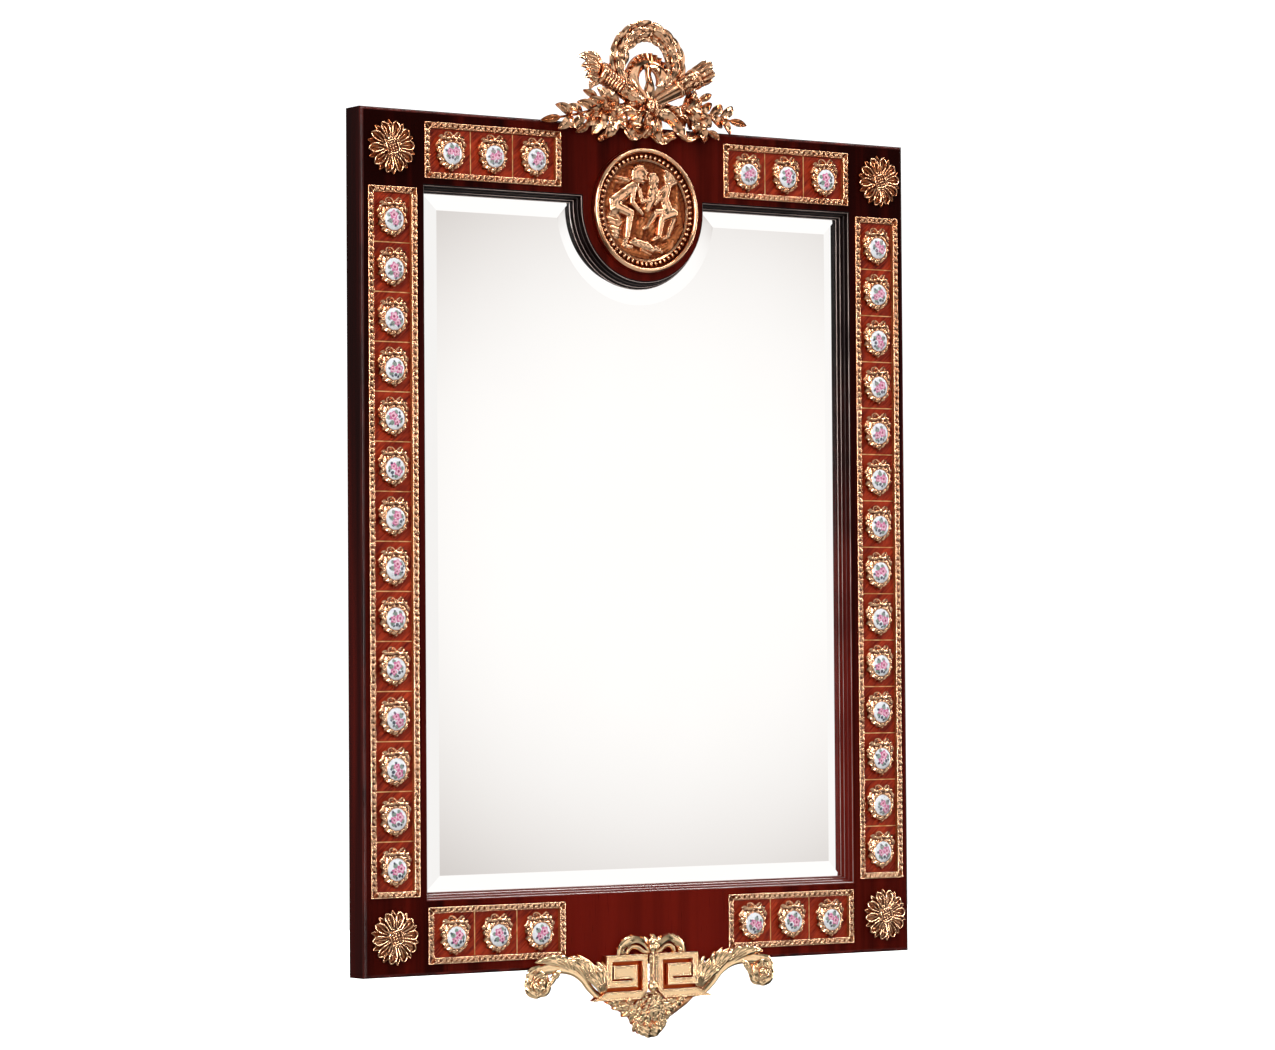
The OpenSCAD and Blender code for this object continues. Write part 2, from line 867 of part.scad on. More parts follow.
module apron_scroll(s) {
  root = key_gap / 2 + key_w;
  volute = [226, -20, 23];
  color([0.88, 0.66, 0.38])
    hung()
      scale_side(s)
        difference() {
          union() {
            slab(-apron_t + 3, 0)
              polygon([[root, 8], [root + 14, 12], [root + 40, 18], [root + 86, 17],
                [root + 130, 8], [root + 118, -14], [root + 76, -6], [root + 52, -12],
                [root + 34, -26], [root + 20, -38], [root, -20]]);
            rod(volute[2], -apron_t, 0, volute[0], volute[1]);
          }
          rod(volute[2] * 0.3, -apron_t - cut, -apron_t + 4, volute[0], volute[1]);
        }
}

module apron_husk() {
  z0 = key_top - key_h;
  gap = key_gap / 2;
  color([0.86, 0.58, 0.3])
    hung()
      union() {
        slab(-apron_t + 2, 0)
          polygon([[-gap, z0 + 11], [gap, z0 + 11], [gap, key_top], [-gap, key_top]]);
        rod(9, -apron_t - 3, 0, 0, z0 + 22);
        slab(-apron_t - 1, 0)
          polygon([[-gap, z0 + 11], [-gap - 11, z0], [-92, z0], [-72, z0 - 14], [-46, z0 - 28],
            [-33, z0 - 46], [-26, z0 - 58], [-8, z0 - 63], [18, z0 - 62], [24, z0 - 42],
            [48, z0 - 28], [76, z0 - 12], [92, z0], [gap + 11, z0], [gap, z0 + 11]]);
        // ribbon bow on the rail above
        for (t = [-1, 1])
          scale_side(t)
            difference() {
              rod(15, -9, 0, 30, 30);
              rod(8, -10, cut, 30, 30);
              plank([0, -20, 60, 20 + key_top], -20, 20);
            }
        slab(-10, 0)
          polygon([[-16, key_top], [16, key_top], [17, 38], [6, 46], [-6, 46], [-17, 38]]);
      }
}

stile(-1);  // left_stile
stile(1);  // right_stile
top_rail();
bottom_rail();
edge_bead();
corner_dowels();
sight_moulding(sight_box, 2);  // sight_moulding_left
sight_moulding(sight_box, 3);  // sight_moulding_right
sight_moulding(sight_box, 0);  // sight_moulding_bottom
sight_moulding(top_left_box, 1);  // sight_moulding_top_left
sight_moulding(top_right_box, 1);  // sight_moulding_top_right
sight_moulding_arch();
mirror_glass();
glass_packing();
backboard();
back_screws();
hanger_plates();
tiles(panels[0]);  // left_panel_tiles
border(panels[0]);  // left_panel_border
plaque_mounts(panels[0]);  // left_panel_plaque_mounts
plaques(panels[0]);  // left_panel_plaques
tiles(panels[1]);  // right_panel_tiles
border(panels[1]);  // right_panel_border
plaque_mounts(panels[1]);  // right_panel_plaque_mounts
plaques(panels[1]);  // right_panel_plaques
tiles(panels[2]);  // top_left_panel_tiles
border(panels[2]);  // top_left_panel_border
plaque_mounts(panels[2]);  // top_left_panel_plaque_mounts
plaques(panels[2]);  // top_left_panel_plaques
tiles(panels[3]);  // top_right_panel_tiles
border(panels[3]);  // top_right_panel_border
plaque_mounts(panels[3]);  // top_right_panel_plaque_mounts
plaques(panels[3]);  // top_right_panel_plaques
tiles(panels[4]);  // bottom_left_panel_tiles
border(panels[4]);  // bottom_left_panel_border
plaque_mounts(panels[4]);  // bottom_left_panel_plaque_mounts
plaques(panels[4]);  // bottom_left_panel_plaques
tiles(panels[5]);  // bottom_right_panel_tiles
border(panels[5]);  // bottom_right_panel_border
plaque_mounts(panels[5]);  // bottom_right_panel_plaque_mounts
plaques(panels[5]);  // bottom_right_panel_plaques
brass_stringing();
rosette(-1, frame_h - rosette_end);  // rosette_top_left
rosette(1, frame_h - rosette_end);  // rosette_top_right
rosette(-1, rosette_end);  // rosette_bottom_left
rosette(1, rosette_end);  // rosette_bottom_right
medallion_rim();
medallion_beads();
medallion_relief();
ornament_studs();
crest_wreath();
crest_branches();
crest_torch();
crest_quiver();
crest_ribbon();
apron_key(-1);  // apron_key_left
apron_key(1);  // apron_key_right
apron_scroll(-1);  // apron_scroll_left
apron_scroll(1);  // apron_scroll_right
apron_husk();
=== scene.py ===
import bpy
import math
import numpy as np
from mathutils import Matrix, Vector


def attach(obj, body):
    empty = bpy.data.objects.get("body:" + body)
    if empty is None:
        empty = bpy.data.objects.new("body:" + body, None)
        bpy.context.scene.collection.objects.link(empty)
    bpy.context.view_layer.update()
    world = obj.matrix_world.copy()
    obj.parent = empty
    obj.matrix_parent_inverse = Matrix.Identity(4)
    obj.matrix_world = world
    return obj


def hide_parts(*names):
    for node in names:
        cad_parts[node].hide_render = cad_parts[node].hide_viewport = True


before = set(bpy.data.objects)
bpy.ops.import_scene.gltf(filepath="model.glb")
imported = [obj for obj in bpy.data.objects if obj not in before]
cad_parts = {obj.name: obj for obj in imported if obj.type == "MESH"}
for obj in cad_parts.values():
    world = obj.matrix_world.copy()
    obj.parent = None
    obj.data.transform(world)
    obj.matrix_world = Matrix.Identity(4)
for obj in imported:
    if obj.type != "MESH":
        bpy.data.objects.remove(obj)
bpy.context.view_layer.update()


# ---- The view
# A long lens a little below the mirror's middle and well to its left, so that the frame's left
# side shows and its right side runs away. The mirror hangs plumb; the camera leans slightly up.
camera_data = bpy.data.cameras.new("camera")
camera_data.sensor_width = 36
camera_data.lens = 124.1
camera_data.clip_end = 200
camera = bpy.data.objects.new("camera", camera_data)
bpy.context.scene.collection.objects.link(camera)
bpy.context.scene.camera = camera
swung = math.radians(34.451)
tipped = math.radians(-1.83)
rolled = math.radians(-0.379)
level_right = Vector((math.cos(swung), -math.sin(swung), 0))
level_ahead = Vector((math.sin(swung), math.cos(swung), 0))
plumb = Vector((0, 0, -1))
tipped_down = plumb * math.cos(tipped) - level_ahead * math.sin(tipped)
ahead = plumb * math.sin(tipped) + level_ahead * math.cos(tipped)
right = level_right * math.cos(rolled) - tipped_down * math.sin(rolled)
down = level_right * math.sin(rolled) + tipped_down * math.cos(rolled)
camera.matrix_world = Matrix((
    (right.x, -down.x, -ahead.x, -4.1653),
    (right.y, -down.y, -ahead.y, -6.0944),
    (right.z, -down.z, -ahead.z, -0.6522),
    (0, 0, 0, 1),
))


# ---- The studio
# A white cove all round, with soft banks of light in it: one overhead, a key from the left and
# a broad bright wall in front that the mirror looks at, and grey between them so metal has form.
class Socket:
    """A shader socket that takes part in sums; each sum adds its Math node."""

    def __init__(self, shader, socket):
        self.shader = shader
        self.socket = socket

    def __add__(self, other):
        return self.shader.sum("ADD", self, other)

    def __radd__(self, other):
        return self.shader.sum("ADD", other, self)

    def __sub__(self, other):
        return self.shader.sum("SUBTRACT", self, other)

    def __rsub__(self, other):
        return self.shader.sum("SUBTRACT", other, self)

    def __mul__(self, other):
        return self.shader.sum("MULTIPLY", self, other)

    def __rmul__(self, other):
        return self.shader.sum("MULTIPLY", other, self)

    def __truediv__(self, other):
        return self.shader.sum("DIVIDE", self, other)

    def __rtruediv__(self, other):
        return self.shader.sum("DIVIDE", other, self)

    def __pow__(self, other):
        return self.shader.sum("POWER", self, other)


class Shader:
    """The nodes of one finish, or of the studio's light."""

    def __init__(self, owner):
        owner.use_nodes = True
        self.owner = owner
        self.tree = owner.node_tree
        self.tree.nodes.clear()

    def node(self, kind, settings=None, sockets=None, out=0):
        made = self.tree.nodes.new("ShaderNode" + kind)
        for name, value in (settings or {}).items():
            if name == "stops":
                for stop, (place, colour) in enumerate(value):
                    if stop > 1:
                        made.color_ramp.elements.new(place)
                    made.color_ramp.elements[stop].position = place
                    made.color_ramp.elements[stop].color = (*colour, 1)
            else:
                setattr(made, name, value)
        for name, value in (sockets or {}).items():
            if isinstance(value, Socket):
                self.tree.links.new(value.socket, made.inputs[name])
            else:
                made.inputs[name].default_value = value
        return Socket(self, made.outputs[out]) if len(made.outputs) else None

    def sum(self, operation, *values):
        return self.node("Math", {"operation": operation}, dict(enumerate(values)))

    def part(self, vector, axis):
        return self.node("SeparateXYZ", {}, {0: vector}, out=axis)

    def blend(self, share, first, second):
        """Goes from one colour to another as share runs from 0 to 1."""
        ends = [(*end, 1) if isinstance(end, tuple) else end for end in (first, second)]
        return self.node(
            "Mix", {"data_type": "RGBA"}, {0: share, 6: ends[0], 7: ends[1]}, out=2
        )

    def between(self, value, low, high):
        """0 at or below low, 1 at or above high, and smooth between them."""
        return self.node(
            "MapRange", {"interpolation_type": "SMOOTHSTEP"}, {0: value, 1: low, 2: high}
        )


world = bpy.data.worlds.new("studio")
bpy.context.scene.world = world
cove = Shader(world)
looking = cove.node("TexCoord", out="Generated")


def nearness(direction):
    """The cosine of the angle between a direction and the one looked along."""
    ends = {0: looking, 1: direction.normalized()}
    return cove.node("VectorMath", {"operation": "DOT_PRODUCT"}, ends, out="Value")


def bank(towards, inner, outer):
    """1 within inner degrees of a direction, 0 beyond outer degrees."""
    low = math.cos(math.radians(outer))
    high = math.cos(math.radians(inner))
    return cove.between(nearness(Vector(towards)), low, high)


def tube(towards, across, half, length):
    """A long thin lamp in a direction: half degrees to each side, length degrees to each end."""
    off = cove.sum("ABSOLUTE", nearness(Vector(towards).cross(Vector(across))))
    edge = math.sin(math.radians(half))
    return (1 - cove.between(off, edge * 0.6, edge * 1.4)) * bank(towards, length * 0.8, length)


UPRIGHT = (0, 0, 1)
WALL = (0.5653, -0.8240, 0.0375)
wall_fall = 1 - bank((0.5692, -0.8215, 0.030), 1.1, 6.6)
wall_tone = wall_fall * bank(WALL, 6.7, 8.6)
studio_light = (
    0.04
    + bank(WALL, 17, 26) * 1.02
    + bank((0.0, -1.0, -0.05), 9, 14) * 0.75
    + bank((-0.64, -0.64, -0.42), 10, 16) * 0.75
    - wall_tone * 0.53
    - tube((0.383, -0.924, 0.037), UPRIGHT, 3.6, 16) * 0.11
    - tube((0.721, -0.693, 0.037), UPRIGHT, 3.6, 16) * 0.06
    + bank((0.1, -0.35, 1.0), 18, 50) * 0.45
    + bank((-0.86, -0.42, 0.32), 6, 24) * 2.6
    + bank((0.15, -0.5, -0.85), 14, 42) * 0.5
    + bank((0.0, 1.0, 0.1), 20, 80) * 0.8
    + tube((-0.82, -0.57, 0.12), UPRIGHT, 1.4, 26) * 42
    + tube((-0.30, -0.95, 0.10), UPRIGHT, 0.9, 18) * 26
    + tube((0.45, -0.30, 0.85), (1, 0, 0), 1.3, 28) * 32
    + tube((0.98, -0.10, 0.15), UPRIGHT, 1.2, 24) * 26
)
lamp_colour = cove.blend(wall_tone, (1.0, 0.985, 0.97), (1.0, 0.93, 0.885))
seen_straight = cove.node("LightPath", out="Is Camera Ray")
glow = {
    "Color": cove.blend(seen_straight, lamp_colour, (1, 1, 1)),
    "Strength": studio_light * (1 - seen_straight) + seen_straight * 1.2,
}
cove.node("OutputWorld", {}, {0: cove.node("Background", {}, glow)})
bpy.context.scene.view_settings.view_transform = "Standard"

FLOOR_Z = -1.42
FLOOR_HALF = 5
corners = [(x * FLOOR_HALF, y * FLOOR_HALF, FLOOR_Z) for x, y in ((-1, -1), (1, -1), (1, 1), (-1, 1))]
floor_mesh = bpy.data.meshes.new("floor")
floor_mesh.from_pydata(corners, [], [(0, 1, 2, 3)])
floor = bpy.data.objects.new("floor", floor_mesh)
bpy.context.scene.collection.objects.link(floor)
floor_paint = Shader(bpy.data.materials.new("floor_paint"))
white_paint = {
    "Base Color": (0.9, 0.9, 0.9, 1),
    "Roughness": 0.6,
    "Emission Color": (1, 1, 1, 1),
    "Emission Strength": 1.0,
}
floor_paint.node("OutputMaterial", {}, {0: floor_paint.node("BsdfPrincipled", {}, white_paint)})
floor_mesh.materials.append(floor_paint.owner)
floor.visible_diffuse = False
floor.visible_glossy = False


# ---- Stiles and rails
# Mahogany members, 46 mm through, the rails housed between the stiles and the top rail carrying
# the round boss. Faced with plain upright veneer, then polished; its colour is painted lighter and
# redder towards the middle and the bottom as painted light, and darker to the corners as painted shade.
def dressed(shader, colour, roughness, normal=None, **steady):
    """Finishes a shader with one Principled surface; steady values go on its own sockets."""
    sockets = {"Base Color": colour, "Roughness": roughness}
    if normal is not None:
        sockets["Normal"] = normal
    for name, value in steady.items():
        sockets[name.replace("_", " ")] = value
    surface = shader.node("BsdfPrincipled", {}, sockets)
    shader.node("OutputMaterial", {}, {0: surface})
    return shader.owner


def new_finish(name):
    """An empty finish, and the place on the piece that its figure hangs on."""
    shader = Shader(bpy.data.materials.new(name))
    return shader, shader.node("TexCoord", out="Object")


def noise(shader, where, scale, detail=2.0, stretch=(1, 1, 1)):
    """Fractal noise about 0.5, its features 1 / scale metres long, drawn out by stretch."""
    drawn = shader.node(
        "VectorMath", {"operation": "MULTIPLY"}, {0: where, 1: [scale * s for s in stretch]}
    )
    return shader.node("TexNoise", {}, {"Vector": drawn, "Scale": 1.0, "Detail": detail})


def relief(shader, height, depth):
    """A bump normal; height runs from 0 to 1 over depth metres."""
    return shader.node("Bump", {}, {"Strength": 1.0, "Distance": depth, "Height": height})


def refinish(node, finish, arris=0.0):
    """Gives a CAD piece its finish, and takes its sharp edges off by arris metres."""
    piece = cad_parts[node]
    piece.data.materials.clear()
    piece.data.materials.append(finish)
    if arris:
        piece.modifiers.new("weld", "WELD").merge_threshold = 0.00001
        eased = piece.modifiers.new("arris", "BEVEL")
        eased.width = arris
        eased.segments = 2
        eased.limit_method = "ANGLE"
        eased.angle_limit = math.radians(35)
        eased.harden_normals = True
    return piece


polished, spot = new_finish("polished_mahogany")
figure = noise(polished, spot, 38, 3, (1, 1, 0.035))
pores = noise(polished, spot, 900, 2, (1, 1, 0.025))
cloud = noise(polished, spot, 3.1, 2, (1, 1, 0.6))
# Painted light: the colour is lifted redder and lighter towards the middle and the bottom, and left darker
# to the corners as painted shade.
away = polished.sum("ABSOLUTE", polished.part(spot, "X"))
low_down = polished.between(polished.part(spot, "Z"), 0.35, -1.2)
painted_glow_and_cloud = (1 - polished.between(away, 0.06, 0.52)) * 0.6 + low_down * 0.45 + cloud * 0.25
figure_and_painted_glow = polished.blend(
    polished.between(figure * 0.95 + painted_glow_and_cloud * 0.66, 0.52, 1.55),
    (0.011, 0.0009, 0.0006),
    (0.165, 0.0100, 0.0050),
)
figure_and_painted_glow = polished.blend(polished.between(pores, 0.36, 0.2), figure_and_painted_glow, (0.014, 0.0014, 0.001))
mahogany = dressed(
    polished,
    figure_and_painted_glow,
    0.1 + cloud * 0.08,
    relief(polished, pores * 0.4 + figure * 0.6, 0.00008),
    Specular_IOR_Level=0.01,
    Coat_Weight=0.014,
    Coat_Roughness=0.04,
)
for member in ("left_stile", "right_stile", "top_rail", "bottom_rail"):
    refinish(member, mahogany, 0.0008)


# ---- Edge bead and corner dowels
# A small mahogany bead worked round the front arris of the frame, rubbed redder and brighter
# than the flats, and eight beech dowels, hidden, that pin each rail to its stiles.
rubbed, spot = new_finish("rubbed_bead")
streak = noise(rubbed, spot, 55, 3, (1, 1, 0.05))
wear = noise(rubbed, spot, 14, 3)
bead_wood = dressed(
    rubbed,
    rubbed.blend(
        rubbed.between(streak * 0.6 + wear * 0.4, 0.35, 0.72),
        (0.020, 0.002, 0.0015),
        (0.13, 0.014, 0.009),
    ),
    0.14 + wear * 0.1,
    relief(rubbed, streak, 0.00006),
    Specular_IOR_Level=0.05,
    Coat_Weight=0.3,
    Coat_Roughness=0.03,
)
refinish("edge_bead", bead_wood)

turned_beech, spot = new_finish("turned_beech")
fleck = noise(turned_beech, spot, 500, 2, (0.1, 1, 1))
dowel_wood = dressed(
    turned_beech,
    turned_beech.blend(fleck, (0.42, 0.27, 0.15), (0.62, 0.44, 0.27)),
    0.55 + fleck * 0.2,
    relief(turned_beech, fleck, 0.0001),
)
refinish("corner_dowels", dowel_wood)


# ---- Sight moulding
# Ebonised pear wood run with three quarter-round steps and a lip, mitred at the corners and
# bent round the boss. It is French polished; a painted highlight runs as a pale line along every
# step's nose, and a painted red reflection colours it towards the bottom.
ebonised, spot = new_finish("ebonised_moulding")
brushing = noise(ebonised, spot, 120, 3)
handling = noise(ebonised, spot, 9, 3)
# Painted reflection: the moulding's colour turns redder towards the bottom, standing in for the red
# reflected in its polish.
painted_red_reflection = ebonised.between(ebonised.part(spot, "Z"), 0.1, -1.0)
STEP_DEEP = 6.93
FIRST_STEP = 45
sunk = (ebonised.part(spot, "Y") * 1000 + FIRST_STEP) / STEP_DEEP
up_the_step = ebonised.sum("FRACT", sunk)
# Painted highlight: a pale line along the nose of each step, strongest on the first and last steps.
painted_highlight_line = ebonised.between(up_the_step, 0.07, 0.10) * ebonised.between(up_the_step, 0.18, 0.14)
step_number = ebonised.sum("FLOOR", sunk)
from_middle = ebonised.sum("ABSOLUTE", step_number - 1)
painted_highlight_line = painted_highlight_line * (0.15 + 0.85 * from_middle)
ebony_and_painted_red = ebonised.blend(
    ebonised.between(handling * 0.5 + painted_red_reflection * 0.75, 0.35, 1.0),
    (0.004, 0.0008, 0.0008),
    (0.115, 0.0075, 0.0040),
)
ebony = dressed(
    ebonised,
    ebonised.blend(
        painted_highlight_line * (handling * 2.4 - 0.4) * (1 - painted_red_reflection * 0.55), ebony_and_painted_red, (0.70, 0.55, 0.50)
    ),
    0.35 + brushing * 0.1,
    relief(ebonised, brushing, 0.00003),
    Specular_IOR_Level=0.03,
    Coat_Weight=0.22 + painted_red_reflection * 0.2,
    Coat_Roughness=0.02,
)
for run in ("left", "right", "bottom", "top_left", "top_right", "arch"):
    refinish("sight_moulding_" + run, ebony)


# ---- Mirror glass
# 5 mm silvered float glass with a 38 mm ground and polished bevel, notched round the boss and
# bedded on dark felt strips. Its silver has the faintest warm cast and a breath of haze.
silvered, spot = new_finish("silvered_glass")
haze = noise(silvered, spot, 6, 4)
wipe = noise(silvered, spot, 40, 3, (1, 1, 0.2))
mirror_face = dressed(
    silvered,
    silvered.blend(haze, (0.955, 0.953, 0.948), (0.975, 0.975, 0.972)),
    silvered.between(wipe, 0.45, 0.8) * 0.015 + 0.004,
    Metallic=1.0,
)
refinish("mirror_glass", mirror_face)

pressed_felt, spot = new_finish("pressed_felt")
fibre = noise(pressed_felt, spot, 1500, 3, (1, 1, 0.4))
felt = dressed(
    pressed_felt,
    pressed_felt.blend(fibre, (0.012, 0.012, 0.012), (0.05, 0.047, 0.045)),
    0.95,
    relief(pressed_felt, fibre, 0.0003),
    Sheen_Weight=0.4,
)
refinish("glass_packing", felt)


# ---- Backboard, its screws and the hanger plates
# Birch plywood let into the back and held with countersunk brass screws. Two steel plates with
# round holes, let in flush at the stiles, take the weight; the whole back is rubbed with wax.
peeled_birch, spot = new_finish("peeled_birch")
sweep_of_grain = noise(peeled_birch, spot, 9, 4, (1, 1, 0.12))
bands = peeled_birch.sum("FRACT", sweep_of_grain * 14 + noise(peeled_birch, spot, 60, 2) * 0.3)
fine = noise(peeled_birch, spot, 700, 2, (1, 1, 0.03))
smudge = noise(peeled_birch, spot, 4, 3)
ply_colour = peeled_birch.blend(
    peeled_birch.between(bands, 0.0, 0.9), (0.50, 0.33, 0.17), (0.36, 0.21, 0.10)
)
plywood = dressed(
    peeled_birch,
    peeled_birch.blend(smudge * fine * 1.1, ply_colour, (0.24, 0.13, 0.06)),
    0.5 + fine * 0.25,
    relief(peeled_birch, fine * 0.7 + bands * 0.3, 0.00012),
)
refinish("backboard", plywood, 0.0006)


def plain_metal(name, dull, bright, roughness, scratches):
    """A turned or rolled metal: two tones in clouds, and brushed scratches."""
    shader, spot = new_finish(name)
    tarnish = noise(shader, spot, 90, 4)
    brushed = noise(shader, spot, 2400, 2, scratches)
    return dressed(
        shader,
        shader.blend(shader.between(tarnish, 0.35, 0.65), dull, bright),
        roughness + brushed * 0.2,
        relief(shader, brushed, 0.00003),
        Metallic=1.0,
    )


refinish(
    "back_screws",
    plain_metal("screw_brass", (0.40, 0.27, 0.10), (0.72, 0.52, 0.24), 0.25, (1, 1, 0.1)),
)
refinish(
    "hanger_plates",
    plain_metal("zinced_steel", (0.38, 0.38, 0.39), (0.62, 0.62, 0.64), 0.3, (0.05, 1, 1)),
    0.0005,
)
refinish(
    "ornament_studs",
    plain_metal("stud_brass", (0.45, 0.30, 0.12), (0.75, 0.55, 0.27), 0.22, (1, 0.1, 1)),
)


# ---- Inlaid tiles and the brass lines between them
# Square leaves of red-stained satinwood, every one cut from the same flitch and laid with its
# figure running up to the right. Thin brass lines are let in between and polished off level.
SIDE_TILE = 0.0804714
red_stained, spot = new_finish("red_stained_veneer")
slanted = red_stained.node(
    "VectorRotate", {"rotation_type": "Y_AXIS"}, {"Vector": spot, "Angle": math.radians(42)}
)
stripe = noise(red_stained, slanted, 420, 3, (0.08, 1, 1))
broad = noise(red_stained, slanted, 90, 2, (0.2, 1, 1))
PER_METRE = (11.9, 0, 1 / SIDE_TILE)
counted = red_stained.node("VectorMath", {"operation": "MULTIPLY"}, {0: spot, 1: PER_METRE})
squares = red_stained.node("VectorMath", {"operation": "FLOOR"}, {0: counted})
leaf_tone = red_stained.node("TexWhiteNoise", {"noise_dimensions": "3D"}, {"Vector": squares})
veneer_colour = red_stained.blend(
    red_stained.between(stripe * 0.6 + broad * 0.4, 0.33, 0.66),
    (0.13, 0.007, 0.0028),
    (0.58, 0.056, 0.016),
)
veneer_colour = red_stained.blend(leaf_tone * 0.4, veneer_colour, (0.20, 0.014, 0.005))
red_veneer = dressed(
    red_stained,
    veneer_colour,
    0.22 + stripe * 0.15,
    relief(red_stained, stripe, 0.00012),
    Specular_IOR_Level=0.08,
    Coat_Weight=0.05,
    Coat_Roughness=0.08,
)
PANELS = ("left", "right", "top_left", "top_right", "bottom_left", "bottom_right")
for panel in PANELS:
    refinish(panel + "_panel_tiles", red_veneer, 0.0003)
refinish(
    "brass_stringing",
    plain_metal("line_brass", (0.58, 0.26, 0.09), (0.95, 0.55, 0.24), 0.24, (1, 1, 0.05)),
)


# ---- Panel borders
# Cast and chased bronze strips, fire gilt, round every panel: a thread along each edge and a row
# of slanting leaves between. The plain strip is the drawn one; threads and leaves are cast on it.
FACE_Y = -0.046
HANG_Z = 1.15


def gilding(name, tones, roughness, low, high):
    """Mercury gilding on chased bronze: darkened in the hollows and up to low mm proud of the face, partly
    patina and partly painted shade, and rubbed bright from high mm proud, partly burnish and partly painted
    highlight; painted light brightens it towards the bottom. tones are the ground, the gold and the
    rubbed gold, which also serves as the painted highlight."""
    shader, spot = new_finish(name)
    chasing = noise(shader, spot, 420, 3)
    patches = noise(shader, spot, 60, 3)
    # Painted shade: the occlusion darkens the gilding in hollows and between parts, together with a patina
    # there; the low ground is darkened the same way.
    ao_patina_and_shade = shader.node(
        "AmbientOcclusion", {"samples": 4}, {"Color": (1, 1, 1, 1), "Distance": 0.007}, out="AO"
    )
    proud = (FACE_Y - shader.part(spot, "Y")) * 1000
    rubbed = shader.between(ao_patina_and_shade + (chasing - 0.5) * 0.35, 0.36, 0.92)
    rubbed = rubbed * (0.2 + 0.8 * shader.between(proud, low, high))
    ground, gold, light = tones
    colour = shader.blend(rubbed, ground, gold)
    # Painted light: the gilding is brightened towards the bottom of the frame; the light tone on open, proud
    # parts is partly burnish and partly a painted highlight.
    painted_light_low = shader.between(shader.part(spot, "Z"), 0.2, -1.1)
    burnish_and_painted_light = shader.between(patches * 0.4 + rubbed * 0.6 + painted_light_low * 0.16, 0.56, 0.88)
    colour = shader.blend(burnish_and_painted_light, colour, light)
    return dressed(
        shader,
        colour,
        roughness + (1 - rubbed) * 0.25 + (patches - 0.5) * 0.1,
        relief(shader, chasing, 0.00012),
        Metallic=1.0,
    )


ROSE_GOLD = ((0.14, 0.016, 0.005), (0.84, 0.28, 0.095), (1.0, 0.62, 0.38))
border_gilt = gilding("border_gilt", ROSE_GOLD, 0.17, 0.6, 1.9)


class Casting:
    """A piece's surfaces, drawn in mm on the frame's face: across, up, and proud of it."""

    def __init__(self, *lofts):
        self.points = []
        self.faces = []
        self.count = 0
        for rings in lofts:
            self.loft(rings)

    def add(self, points, faces):
        self.points.append(points)
        self.faces += [[corner + self.count for corner in face] for face in faces]
        self.count += len(points)

    def loft(self, rings, joined=False, sheet=False):
        """Skins a run of rings. A joined run closes on itself; a sheet's rings are open."""
        rings = np.asarray(rings, float)
        run, around = rings.shape[:2]
        index = np.arange(run * around).reshape(run, around)
        ends = [] if joined or sheet else [index[0, ::-1].tolist(), index[-1].tolist()]
        if joined:
            index = np.vstack((index, index[:1]))
        if not sheet:
            index = np.hstack((index, index[:, :1]))
        quads = np.stack((index[:-1, :-1], index[:-1, 1:], index[1:, 1:], index[1:, :-1]), -1)
        quads = quads.reshape(-1, 4)
        points = rings.reshape(-1, 3)
        faces = quads.tolist() + ends
        corners = (points - points.mean(0))[quads]
        diagonals = np.cross(corners[:, 2] - corners[:, 0], corners[:, 3] - corners[:, 1])
        outward = diagonals[:, 2].sum() if sheet else (corners.mean(1) * diagonals).sum()
        if outward < 0:
            faces = [face[::-1] for face in faces]
        self.add(points, faces)

    def take(self, other, across=0.0, up=0.0, proud=0.0, turn=0.0, size=1.0, flip=False):
        """Adds a copy of another casting, flipped left to right, sized, turned, then moved."""
        points = np.concatenate(other.points) * size
        if flip:
            points = points * (-1, 1, 1)
        cosine = math.cos(turn)
        sine = math.sin(turn)
        points = points @ np.array(((cosine, sine, 0), (-sine, cosine, 0), (0, 0, 1)))
        faces = [face[::-1] for face in other.faces] if flip else other.faces
        self.add(points + (across, up, proud), faces)

    def ring(self, other, count, start=0.0):
        """Adds copies of another casting, turned evenly all the way round."""
        for place in range(count):
            self.take(other, turn=start + 2 * math.pi * place / count)

    def leaf(self, marks, count, half, thick, **shape):
        """Adds a leaf along a smooth curve of count points through the marks."""
        self.loft(leaf(bend(marks, count), half, thick, **shape))

    def bar(self, marks, count, wide, high, around=8, **shape):
        """Adds a rod along a smooth curve of count points through the marks."""
        self.loft(rod(bend(marks, count), wide, high, around, **shape))

    def bead(self, *place_and_size, **shape):
        self.loft(bead(*place_and_size, **shape))

    def pour(self, name, finish, slot, *nodes, across=0.0, up=0.0, crease=48):
        """Makes the piece, in metres in its place, riding on the frame and standing for nodes."""
        points = (np.concatenate(self.points) + (across, up, 0)) / 1000
        placed = np.column_stack((points[:, 0], FACE_Y - points[:, 2], points[:, 1] - HANG_Z))
        mesh = bpy.data.meshes.new(name)
        mesh.from_pydata(placed.tolist(), [], self.faces)
        mesh.shade_smooth()
        mesh.set_sharp_from_angle(angle=math.radians(crease))
        mesh.materials.append(finish)
        piece = bpy.data.objects.new(name, mesh)
        bpy.context.scene.collection.objects.link(piece)
        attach(piece, "root")
        if nodes:
            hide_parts(*nodes)
        return piece


